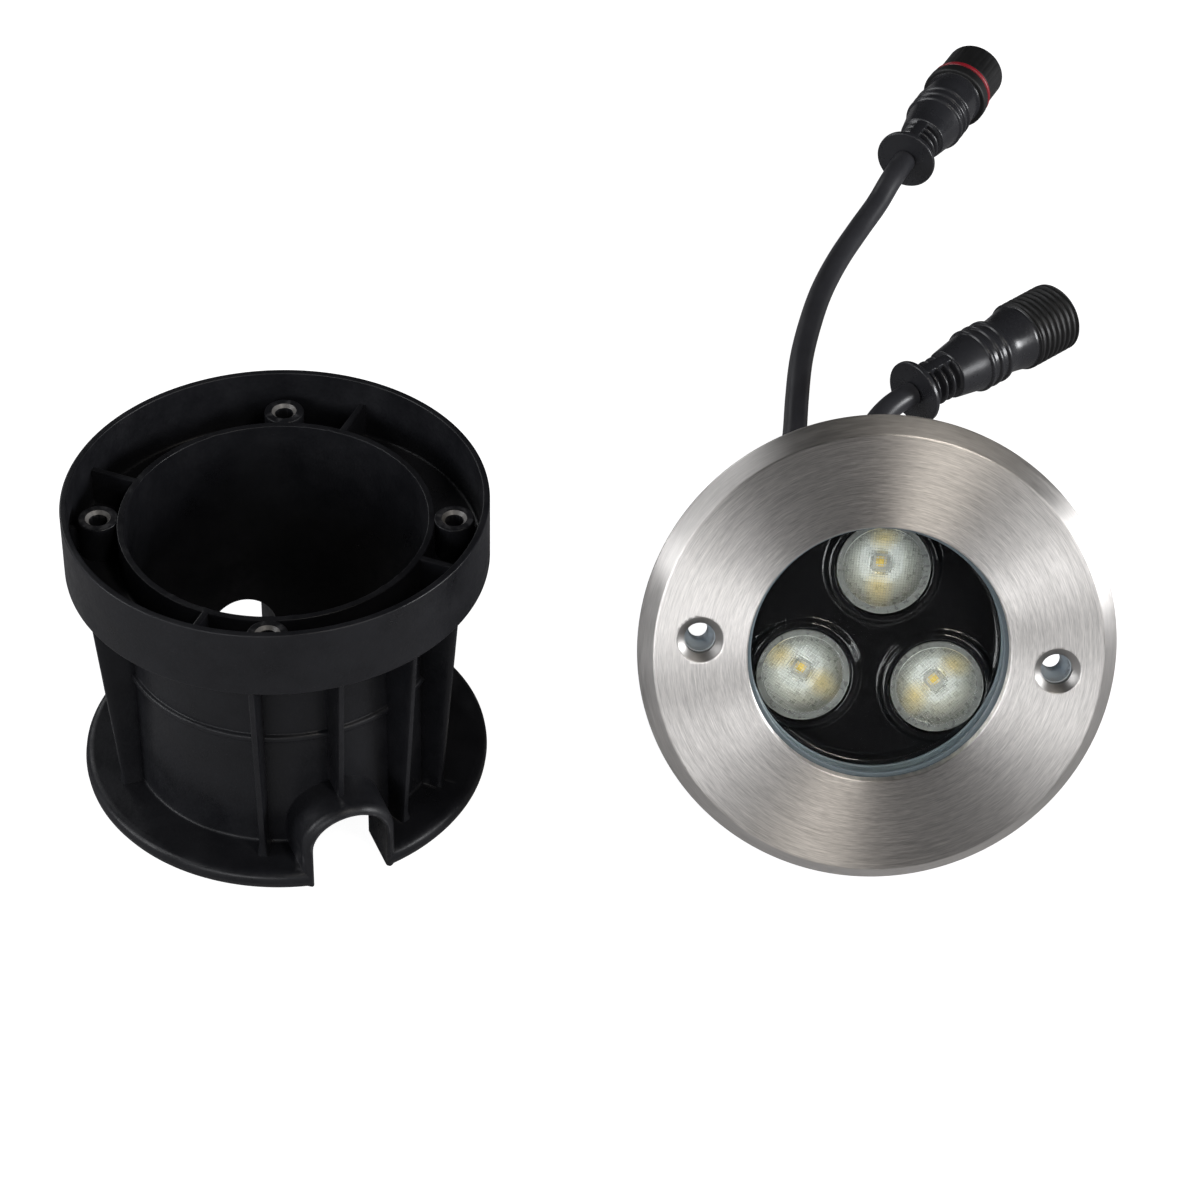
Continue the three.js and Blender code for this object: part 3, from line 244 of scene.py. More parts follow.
def turned_object(
    name: str,
    place: Placement,
    corners: Sequence[Point] | Array,
    sides: int = MEDIUM,
    steps: int = 5,
    radius: Callable[[Array, Array, Array], Array] | None = None,
    step: float = 0.0,
) -> bpy.types.Object:
    """A turned piece from a rounded outline, closed on itself or running from the axis back to it.

    Args:
        name: The piece's name.
        place: Where the axis lies.
        corners: The outline's corners, as rounded() takes them.
        sides: Steps round the axis.
        steps: Points on each rounded corner.
        radius: See revolve().
        step: Longest piece of outline, or 0 to leave it.

    Returns:
        The new object.
    """
    on_axis = corners[0][0] == 0
    outline = rounded(corners, closed=not on_axis, steps=steps)
    following = np.roll(outline, -1, 0)
    if (outline[:, 0] * following[:, 1] - following[:, 0] * outline[:, 1]).sum() < 0:
        outline = outline[::-1]
    if step and on_axis:
        outline = dense(outline, step)
    return grid_object(name, place.put(revolve(outline, sides, radius)), wrap_v=not on_axis)


def section_object(name: str, place: Placement, sections: Array) -> bpy.types.Object:
    """A solid from closed sections one behind the other, with both ends drawn to their middle.

    Args:
        name: The piece's name.
        place: Where its own axes lie.
        sections: Sections by points by 3, each running anticlockwise seen against the direction of travel.

    Returns:
        The new object.
    """
    ends = [np.repeat(sections[i].mean(0)[None], sections.shape[1], 0)[None] for i in (0, -1)]
    rows = np.concatenate([ends[0], sections, ends[1]])
    return grid_object(name, place.put(np.swapaxes(rows, 0, 1)))


def round_box(half_x: float, half_y: float, radius: float, steps: int = 5) -> Array:
    """A rectangle about the origin with rounded corners, anticlockwise, as rows of (x, y)."""
    signs = [(1, -1), (1, 1), (-1, 1), (-1, -1)]
    return rounded([(sx * half_x, sy * half_y, radius) for sx, sy in signs], steps=steps)


def combine(target: bpy.types.Object, tools: Iterable[bpy.types.Object], how: Union) -> bpy.types.Object:
    """Joins solids to target, cuts them from it or keeps what they share, and removes the tools.

    Args:
        target: The solid that is changed.
        tools: The solids that are used up.
        how: What is done with them.

    Returns:
        The target.
    """
    used = list(tools)
    for tool in used:
        modifier = target.modifiers.new(tool.name, "BOOLEAN")
        modifier.object, modifier.operation, modifier.solver = tool, how.value, "MANIFOLD"
    evaluated = target.evaluated_get(bpy.context.evaluated_depsgraph_get())
    mesh = bpy.data.meshes.new_from_object(evaluated)
    target.modifiers.clear()
    old, target.data = target.data, mesh
    mesh.name = target.name
    bpy.data.meshes.remove(old)
    for tool in used:
        mesh_of_tool = tool.data
        bpy.data.objects.remove(tool)
        bpy.data.meshes.remove(mesh_of_tool)
    return target


def finish_piece(
    piece: bpy.types.Object,
    finishes: Sequence["Finish"],
    body: Body,
    nodes: Sequence[str] = (),
    weighted: bool = True,
) -> bpy.types.Object:
    """Shades and dresses a piece, hangs it on its body's empty, hides the CAD nodes that it stands for and logs it.

    Args:
        piece: The piece.
        finishes: Its materials, the first one for every face that names no other.
        body: The body it rides on.
        nodes: CAD nodes that it stands for.
        weighted: Whether large faces set the shading at their edges.

    Returns:
        The piece.
    """
    mesh = piece.data
    mesh.polygons.foreach_set("use_smooth", np.ones(len(mesh.polygons), bool))
    mesh.set_sharp_from_angle(angle=SMOOTH_BELOW)
    while len(mesh.materials) > 0:
        mesh.materials.pop(index=0)
    for finish in finishes:
        mesh.materials.append(finish.material())
    if weighted:
        modifier = piece.modifiers.new("even_shading", "WEIGHTED_NORMAL")
        modifier.keep_sharp = True
        modifier.weight = 60
    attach(piece, body.value)
    if nodes:
        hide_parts(*nodes)
    LOG.info("%s: %d faces, rides on %s", piece.name, len(mesh.polygons), body.value)
    return piece


def face_centres(piece: bpy.types.Object) -> Array:
    """The centres of a piece's faces, in metres."""
    centres = np.zeros(len(piece.data.polygons) * 3, np.float32)
    piece.data.polygons.foreach_get("center", centres)
    return centres.reshape(-1, 3)


# ---------------------------------------------------------------------------------------------
# Shader groups and finishes
# ---------------------------------------------------------------------------------------------


class Nodes:
    """Short ways to add and join the nodes of one tree."""

    def __init__(self, tree: bpy.types.NodeTree) -> None:
        """Keeps the tree that nodes are added to."""
        self.tree = tree

    def add(self, kind: str, inputs: dict | None = None, **settings: object) -> bpy.types.Node:
        """Adds a node.

        Args:
            kind: The node's type, without ShaderNode.
            inputs: Values or output sockets, by input name or number.
            settings: The node's own properties.

        Returns:
            The node.
        """
        made = self.tree.nodes.new("ShaderNode" + kind)
        for key, value in settings.items():
            setattr(made, key, value)
        for key, value in (inputs or {}).items():
            self.feed(made.inputs[key], value)
        return made

    def feed(self, socket: bpy.types.NodeSocket, value: object) -> None:
        """Links value to a socket if it is an output, or else sets it."""
        if isinstance(value, bpy.types.NodeSocket):
            self.tree.links.new(value, socket)
        else:
            socket.default_value = value

    def math(self, operation: str, a: object, b: object = 0.0, c: object = 0.0) -> bpy.types.NodeSocket:
        """The output of a Math node."""
        return self.add("Math", {0: a, 1: b, 2: c}, operation=operation).outputs[0]

    def between(
        self, value: object, low: float, high: float, to_low: float, to_high: float
    ) -> bpy.types.NodeSocket:
        """Value carried from one range to another, and held inside it."""
        inputs = {0: value, 1: low, 2: high, 3: to_low, 4: to_high}
        return self.add("MapRange", inputs).outputs[0]

    def mix(self, share: object, first: object, second: object) -> bpy.types.NodeSocket:
        """Two colours mixed."""
        made = self.add("Mix", data_type="RGBA")
        self.feed(made.inputs[0], share)
        self.feed(made.inputs[6], first)
        self.feed(made.inputs[7], second)
        return made.outputs[2]


def group(name: str, inputs: Sequence[tuple[str, float]], outputs: Sequence[str],
          fill: Callable[[Nodes, dict, dict], None]) -> bpy.types.NodeTree:
    """Builds a node group once, and returns it.

    Args:
        name: The group's name.
        inputs: Each input's name and first value.
        outputs: Each output's name.
        fill: Adds the nodes, given the tree's Nodes, the input sockets and the output sockets by name.

    Returns:
        The group's tree.
    """
    if name in bpy.data.node_groups:
        return bpy.data.node_groups[name]
    tree = bpy.data.node_groups.new(name, "ShaderNodeTree")
    for label, value in inputs:
        socket = tree.interface.new_socket(label, in_out="INPUT", socket_type="NodeSocketFloat")
        socket.default_value = value
    for label in outputs:
        tree.interface.new_socket(label, in_out="OUTPUT", socket_type="NodeSocketFloat")
    nodes = Nodes(tree)
    start, end = tree.nodes.new("NodeGroupInput"), tree.nodes.new("NodeGroupOutput")
    fill(nodes, {s.name: s for s in start.outputs if s.name}, {s.name: s for s in end.inputs if s.name})
    return tree


def moulded_grain() -> bpy.types.NodeTree:
    """Fine grain, soft clouds and pin marks of a moulded or painted surface, on Object coordinates."""

    def fill(nodes: Nodes, given: dict, made: dict) -> None:
        """Noise at the grain's size for height, and at fourteen times its size for tone."""
        where = nodes.add("TexCoord").outputs["Object"]
        fine = nodes.add("TexNoise", {"Vector": where, "Scale": given["Scale"], "Detail": 4.0,
                                      "Roughness": 0.6})
        broad_scale = nodes.math("DIVIDE", given["Scale"], 14.0)
        broad = nodes.add("TexNoise", {"Vector": where, "Scale": broad_scale, "Detail": 5.0,
                                       "Roughness": 0.62})
        spot_scale = nodes.math("DIVIDE", given["Scale"], 2.5)
        spots = nodes.add("TexVoronoi", {"Vector": where, "Scale": spot_scale, "Randomness": 1.0})
        mark = nodes.between(spots.outputs["Distance"], 0.03, 0.12, 1.0, 0.0)
        clouds = nodes.math("SUBTRACT", broad.outputs[0], 0.5)
        grain = nodes.math("SUBTRACT", fine.outputs[0], 0.5)
        both = nodes.math("MULTIPLY_ADD", clouds, 1.6, nodes.math("MULTIPLY", grain, 0.5))
        tone = nodes.math("MULTIPLY_ADD", both, given["Tone"], 1.0)
        mark_tone = nodes.math("MULTIPLY", given["Tone"], 0.8)
        nodes.feed(made["Tone"], nodes.math("MULTIPLY_ADD", mark, mark_tone, tone))
        nodes.feed(made["Gloss"], nodes.math("MULTIPLY", both, given["Gloss"]))
        nodes.feed(made["Height"], nodes.math("MULTIPLY_ADD", mark, -0.3, fine.outputs[0]))

    inputs = [("Scale", 1500.0), ("Tone", 0.4), ("Gloss", 0.2)]
    return group("moulded_grain", inputs, ["Tone", "Gloss", "Height"], fill)


def edge_wear_and_highlight() -> bpy.types.NodeTree:
    """A mask that is high on convex edges, broken up by noise, for edge wear and painted edge highlights."""

    def fill(nodes: Nodes, given: dict, made: dict) -> None:
        """Pointiness above a level, times noise."""
        bend = nodes.add("NewGeometry").outputs["Pointiness"]
        where = nodes.add("TexCoord").outputs["Object"]
        broken = nodes.add("TexNoise", {"Vector": where, "Scale": given["Scale"], "Detail": 4.0})
        sharp = nodes.add("MapRange", {0: bend, 1: given["From"], 2: given["To"], 3: 0.0, 4: 1.0}).outputs[0]
        patches = nodes.between(broken.outputs[0], 0.42, 0.62, 0.15, 1.0)
        nodes.feed(made["Mask"], nodes.math("MULTIPLY", sharp, patches))

    return group("edge_wear_and_highlight", [("From", 0.54), ("To", 0.64), ("Scale", 500.0)], ["Mask"], fill)


def brushed_lines() -> bpy.types.NodeTree:
    """Fine strokes that run round a turned metal face, from its distances X and Y from the axis in metres."""

    def fill(nodes: Nodes, given: dict, made: dict) -> None:
        """Noise over (run cos t, run sin t, across r), at three lengths and widths of stroke."""
        flat = nodes.add("CombineXYZ", {0: given["X"], 1: given["Y"]}).outputs[0]
        radius = nodes.add("VectorMath", {0: flat}, operation="LENGTH").outputs["Value"]
        round_axis = nodes.add("VectorMath", {0: flat}, operation="NORMALIZE").outputs[0]

        def lines(run: float, across: float) -> bpy.types.NodeSocket:
            """Noise with strokes of radius / run, one every 1 / across metres."""
            turned = nodes.add("VectorMath", {0: round_axis}, operation="SCALE")
            turned.inputs["Scale"].default_value = run
            out = nodes.add("CombineXYZ", {2: nodes.math("MULTIPLY", radius, across)}).outputs[0]
            vector = nodes.add("VectorMath", {0: turned.outputs[0], 1: out}, operation="ADD").outputs[0]
            noise = nodes.add("TexNoise", {"Vector": vector, "Scale": 1.0, "Detail": 2.0, "Roughness": 0.55})
            return noise.outputs[0]

        hair, line, band = lines(16.0, 7000.0), lines(7.0, 3600.0), lines(3.0, 1500.0)
        fine = nodes.math("MULTIPLY_ADD", hair, 0.6, nodes.math("MULTIPLY", line, 0.4))
        shade = nodes.math("MULTIPLY_ADD", band, 0.25, nodes.math("MULTIPLY", fine, 0.75))
        centred = nodes.math("SUBTRACT", shade, 0.5)
        nodes.feed(made["Tone"], nodes.math("MULTIPLY_ADD", centred, given["Tone"], 1.0))
        nodes.feed(made["Gloss"], nodes.math("MULTIPLY", centred, given["Gloss"]))
        nodes.feed(made["Height"], fine)

    inputs = [("X", 0.0), ("Y", 0.0), ("Tone", 0.5), ("Gloss", 0.3)]
    return group("brushed_lines", inputs, ["Tone", "Gloss", "Height"], fill)


class Finish:
    """A material that is built once, when it is first asked for."""

    name: str

    def material(self) -> bpy.types.Material:
        """The finish's material."""
        name = f"{self.name}_finish"
        if name in bpy.data.materials:
            return bpy.data.materials[name]
        made = bpy.data.materials.new(name)
        made.use_nodes = True
        made.node_tree.nodes.clear()
        nodes = Nodes(made.node_tree)
        shader = nodes.add("BsdfPrincipled")
        output = nodes.add("OutputMaterial")
        made.node_tree.links.new(shader.outputs[0], output.inputs[0])
        self.fill(nodes, shader)
        return made

    def fill(self, nodes: Nodes, shader: bpy.types.Node) -> None:
        """Adds what makes the finish. Each finish has its own."""
        raise NotImplementedError


@dataclass(frozen=True)
class Moulded(Finish):
    """Moulded plastic, rubber or powder coat."""

    name: str
    colour: tuple[float, float, float]
    roughness: float
    scale: float = 1500.0
    tone: float = 0.35
    gloss: float = 0.15
    bump: float = 0.15
    depth: float = 0.00003
    wear_and_highlight: float = 0.0
    worn_and_highlit_colour: tuple[float, float, float] = (0.2, 0.2, 0.2)
    coat: float = 0.0
    specular: float = 0.5
    metallic: float = 0.0
    scatter: float = 0.0

    def fill(self, nodes: Nodes, shader: bpy.types.Node) -> None:
        """Colour times tone, roughness plus gloss, bump from the grain, and paler edges that are partly wear and
        partly a painted highlight.
        """
        grain = nodes.add("Group", node_tree=moulded_grain())
        for key, value in (("Scale", self.scale), ("Tone", self.tone), ("Gloss", self.gloss)):
            grain.inputs[key].default_value = value
        tinted = nodes.add("VectorMath", {0: self.colour}, operation="SCALE")
        nodes.feed(tinted.inputs["Scale"], grain.outputs["Tone"])
        colour = tinted.outputs[0]
        # Paler convex edges: partly wear, partly a painted highlight along the edges.
        if self.wear_and_highlight > 0:
            edge = nodes.add("Group", node_tree=edge_wear_and_highlight())
            share = nodes.math("MULTIPLY", edge.outputs["Mask"], self.wear_and_highlight)
            colour = nodes.mix(share, colour, (*self.worn_and_highlit_colour, 1.0))
        nodes.feed(shader.inputs["Base Color"], colour)
        nodes.feed(shader.inputs["Roughness"], nodes.math("ADD", grain.outputs["Gloss"], self.roughness))
        bump = nodes.add("Bump", {"Strength": self.bump, "Distance": self.depth,
                                  "Height": grain.outputs["Height"]})
        nodes.feed(shader.inputs["Normal"], bump.outputs[0])
        shader.inputs["Coat Weight"].default_value = self.coat
        shader.inputs["Coat Roughness"].default_value = 0.08
        shader.inputs["Specular IOR Level"].default_value = self.specular
        shader.inputs["Metallic"].default_value = self.metallic
        if self.scatter > 0:
            shader.inputs["Subsurface Weight"].default_value = self.scatter
            shader.inputs["Subsurface Radius"].default_value = (0.002, 0.0022, 0.0024)
            shader.inputs["Subsurface Scale"].default_value = 1.0


@dataclass(frozen=True)
class BrushedSteel(Finish):
    """Stainless steel brushed in circles about a piece's axis."""

    name: str
    place: Placement
    colour: tuple[float, float, float]
    roughness: float
    anisotropy: float
    tone: float = 0.5
    bump: float = 0.35

    def fill(self, nodes: Nodes, shader: bpy.types.Node) -> None:
        """Strokes in colour, roughness and height, and highlights that spread outwards from the axis."""
        where = nodes.add("TexCoord").outputs["Object"]
        out = nodes.add("VectorMath", {0: where, 1: self.place.origin}, operation="SUBTRACT").outputs[0]
        flat = [nodes.add("VectorMath", {0: out, 1: axis}, operation="DOT_PRODUCT").outputs["Value"]
                for axis in (self.place.x, self.place.y)]
        lines = nodes.add("Group", {"X": flat[0], "Y": flat[1]}, node_tree=brushed_lines())
        lines.inputs["Tone"].default_value = self.tone
        lines.inputs["Gloss"].default_value = 0.3
        tinted = nodes.add("VectorMath", {0: self.colour}, operation="SCALE")
        nodes.feed(tinted.inputs["Scale"], lines.outputs["Tone"])
        nodes.feed(shader.inputs["Base Color"], tinted.outputs[0])
        nodes.feed(shader.inputs["Roughness"], nodes.math("ADD", lines.outputs["Gloss"], self.roughness))
        bump = nodes.add("Bump", {"Strength": self.bump, "Distance": 0.00002,
                                  "Height": lines.outputs["Height"]})
        nodes.feed(shader.inputs["Normal"], bump.outputs[0])
        shader.inputs["Metallic"].default_value = 1.0
        shader.inputs["Anisotropic"].default_value = self.anisotropy
        outwards = nodes.add("VectorTransform", {0: out}, vector_type="VECTOR", convert_from="OBJECT",
                             convert_to="WORLD")
        nodes.feed(shader.inputs["Tangent"], outwards.outputs[0])


@dataclass(frozen=True)
class Metal(Finish):
    """Plain bright metal with fine turning marks."""

    name: str
    colour: tuple[float, float, float]
    roughness: float

    def fill(self, nodes: Nodes, shader: bpy.types.Node) -> None:
        """Colour and roughness varied by the grain."""
        grain = nodes.add("Group", node_tree=moulded_grain())
        for key, value in (("Scale", 2500.0), ("Tone", 0.3), ("Gloss", 0.25)):
            grain.inputs[key].default_value = value
        tinted = nodes.add("VectorMath", {0: self.colour}, operation="SCALE")
        nodes.feed(tinted.inputs["Scale"], grain.outputs["Tone"])
        nodes.feed(shader.inputs["Base Color"], tinted.outputs[0])
        nodes.feed(shader.inputs["Roughness"], nodes.math("ADD", grain.outputs["Gloss"], self.roughness))
        shader.inputs["Metallic"].default_value = 1.0


@dataclass(frozen=True)
class Clear(Finish):
    """Clear glass or clear plastic, with a fine crossed pattern pressed into it where a pitch is given.

    Light on its way to a lamp passes straight through.
    """

    name: str
    colour: tuple[float, float, float]
    index: float
    roughness: float = 0.0
    pitch: float = 0.0
    bump: float = 0.5

    def fill(self, nodes: Nodes, shader: bpy.types.Node) -> None:
        """A see-through shader. The pattern's height is the product of two sine waves across each other."""
        shader.inputs["Base Color"].default_value = (*self.colour, 1.0)
        shader.inputs["Transmission Weight"].default_value = 1.0
        shader.inputs["IOR"].default_value = self.index
        output = shader.outputs[0].links[0].to_node
        light = nodes.add("LightPath").outputs["Is Shadow Ray"]
        through = nodes.add("BsdfTransparent", {0: (*self.colour, 1.0)})
        both = nodes.add("MixShader", {0: light, 1: shader.outputs[0], 2: through.outputs[0]})
        nodes.feed(output.inputs[0], both.outputs[0])
        where = nodes.add("TexCoord").outputs["Object"]
        smear = nodes.add("TexNoise", {"Vector": where, "Scale": 60.0, "Detail": 3.0})
        rough = nodes.between(smear.outputs[0], 0.45, 0.75, self.roughness, self.roughness + 0.03)
        nodes.feed(shader.inputs["Roughness"], rough)
        if self.pitch:
            parts = nodes.add("SeparateXYZ", {0: nodes.add("UVMap", uv_map="face").outputs[0]})
            steps = 2 * math.pi / self.pitch
            waves = [nodes.math("SINE", nodes.math("MULTIPLY", parts.outputs[i], steps)) for i in (0, 1)]
            height = nodes.math("MULTIPLY_ADD", nodes.math("ADD", *waves), 0.25, 0.5)
            tinted = nodes.add("VectorMath", {0: self.colour}, operation="SCALE")
            nodes.feed(tinted.inputs["Scale"], nodes.between(height, 0.15, 0.85, 0.76, 1.0))
            nodes.feed(shader.inputs["Base Color"], tinted.outputs[0])
            bump = nodes.add("Bump", {"Strength": self.bump, "Distance": 0.0001, "Height": height})
            nodes.feed(shader.inputs["Normal"], bump.outputs[0])


@dataclass(frozen=True)
class LensSide(Finish):
    """The side of a lens that throws light forwards, painted pale for the light it reflects inside the lens, with
    two painted cream reflections of the emitter.
    """

    name: str
    colour: tuple[float, float, float]
    emitter_reflection: tuple[float, float, float]
    reach: float = 0.0058
    spread: float = 0.0032

    def fill(self, nodes: Nodes, shader: bpy.types.Node) -> None:
        """Painted cream reflections of the emitter where the "face" UV map is near (0, reach) or (0, -reach), and
        painted shade that darkens from a bright centre towards the rim.
        """
        parts = nodes.add("SeparateXYZ", {0: nodes.add("UVMap", uv_map="face").outputs[0]})
        # Two painted cream reflections of the emitter, one on each side of the axis.
        side = nodes.math("SUBTRACT", nodes.math("ABSOLUTE", parts.outputs[1]), self.reach)
        spot = nodes.add("CombineXYZ", {0: parts.outputs[0], 1: side}).outputs[0]
        away = nodes.add("VectorMath", {0: spot}, operation="LENGTH").outputs["Value"]
        where = nodes.add("TexCoord").outputs["Object"]
        broken = nodes.add("TexNoise", {"Vector": where, "Scale": 900.0, "Detail": 2.0}).outputs[0]
        edge = nodes.math("MULTIPLY_ADD", broken, 0.0012, away)
        share = nodes.between(edge, self.spread * 0.4, self.spread * 1.4, 0.85, 0.0)
        face = nodes.add("UVMap", uv_map="face").outputs[0]
        radius = nodes.add("VectorMath", {0: face}, operation="LENGTH").outputs["Value"]
        # Painted shade: bright in the middle of the side, darker towards the rim.
        shade = nodes.between(radius, 0.0054, 0.0088, 1.1, 0.24)
        patchy = nodes.between(broken, 0.35, 0.65, 0.88, 1.04)
        tinted = nodes.add("VectorMath", {0: self.colour}, operation="SCALE")
        nodes.feed(tinted.inputs["Scale"], nodes.math("MULTIPLY", shade, patchy))
        nodes.feed(shader.inputs["Base Color"], nodes.mix(share, tinted.outputs[0], (*self.emitter_reflection, 1.0)))
        nodes.feed(shader.inputs["Roughness"], nodes.between(broken, 0.3, 0.7, 0.22, 0.42))
        shader.inputs["Metallic"].default_value = 0.35


# The wear settings paint paler edges: partly real wear, partly a painted highlight along the edges.
SLEEVE_PLASTIC = Moulded("sleeve_plastic", (0.0085, 0.0088, 0.0108), 0.4, 1100.0, 0.7, 0.4, 0.45, 0.00008,
                         wear_and_highlight=0.5, worn_and_highlit_colour=(0.09, 0.09, 0.095), specular=0.3)
SCUFFED = Moulded("sleeve_scuffed", (0.16, 0.155, 0.15), 0.4, 2500.0, 0.8, 0.3, 0.4)
COUNTERSUNK = Metal("turned_stainless", (0.36, 0.35, 0.34), 0.42)
SCREW_STEEL = Metal("screw_stainless", (0.6, 0.59, 0.57), 0.28)
BRASS = Metal("contact_brass", (0.72, 0.5, 0.2), 0.22)
GLASS = Clear("window_glass_clear", (0.985, 0.995, 0.99), 1.5)
LENS_FACE = Clear("lens_patterned", (0.97, 0.98, 0.97), 1.49, 0.06, pitch=0.00062)
LENS_RIM = Clear("lens_polished", (0.97, 0.98, 0.97), 1.49)
# The pale side colour and the cream spots are painted light: the lens's inner reflection and the emitter's
# reflections.
LENS_SIDE_PAINTED_LIGHT = LensSide("lens_side_painted_light", (0.78, 0.81, 0.79), (0.85, 0.72, 0.38))
SILICONE = Moulded("grey_silicone", (0.13, 0.165, 0.185), 0.32, 700.0, 0.2, 0.1, 0.1, scatter=0.4)
GROMMET = Moulded("grommet_silicone", (0.52, 0.58, 0.63), 0.3, 700.0, 0.2, 0.1, 0.1, scatter=0.8)
GLOSS_BLACK = Moulded("inner_cover_gloss", (0.0035, 0.0035, 0.004), 0.12, 600.0, 0.3, 0.05, 0.04, coat=0.3)
HOLDER = Moulded("lens_holder_plastic", (0.02, 0.02, 0.02), 0.4)
CERAMIC = Moulded("emitter_ceramic", (0.82, 0.82, 0.8), 0.4)
PHOSPHOR = Moulded("emitter_phosphor", (0.86, 0.62, 0.12), 0.35, 3000.0, 0.2, 0.1, 0.1, coat=0.6)
BOARD_WHITE = Moulded("board_white", (0.78, 0.78, 0.76), 0.35)
BOARD_GREEN = Moulded("driver_green", (0.02, 0.12, 0.05), 0.35)
PAD_BLUE = Moulded("thermal_pad_blue", (0.3, 0.38, 0.48), 0.75)
POWDER_COAT = Moulded("housing_powder_coat", (0.028, 0.029, 0.031), 0.5, 1800.0, 0.3, 0.2, 0.55, 0.00006,
                      wear_and_highlight=0.35, worn_and_highlit_colour=(0.25, 0.25, 0.26))
COVER_PLASTIC = Moulded("rear_cover_plastic", (0.016, 0.0165, 0.018), 0.42, 1400.0, 0.3, 0.2, 0.3, 0.00005,
                        wear_and_highlight=0.3, worn_and_highlit_colour=(0.07, 0.07, 0.07))
GLAND_PLASTIC = Moulded("gland_nylon", (0.015, 0.0155, 0.017), 0.38, 1600.0, 0.3, 0.2, 0.2,
                        wear_and_highlight=0.3, worn_and_highlit_colour=(0.08, 0.08, 0.08))
SEAL_RUBBER = Moulded("seal_rubber", (0.018, 0.018, 0.019), 0.65)
CORD_JACKET = Moulded("cord_jacket", (0.03, 0.0305, 0.035), 0.36, 1300.0, 0.35, 0.2, 0.18, 0.00004)
CONNECTOR = Moulded("connector_plastic", (0.022, 0.0225, 0.026), 0.27, 1100.0, 0.4, 0.25, 0.18, 0.00004,
                    wear_and_highlight=0.3, worn_and_highlit_colour=(0.06, 0.06, 0.065))
CONNECTOR_ROUGH = Moulded("connector_rough", (0.009, 0.009, 0.0095), 0.5, 1500.0, 0.5, 0.2, 0.6, 0.00006,
                          wear_and_highlight=0.4, worn_and_highlit_colour=(0.05, 0.05, 0.052))
RED_SEAL = Moulded("red_seal_rubber", (0.27, 0.012, 0.022), 0.34, 1300.0, 0.3, 0.2, 0.15)
CARRIER = Moulded("contact_carrier", (0.03, 0.03, 0.032), 0.45)


# ---------------------------------------------------------------------------------------------
# Mounting sleeve
# ---------------------------------------------------------------------------------------------


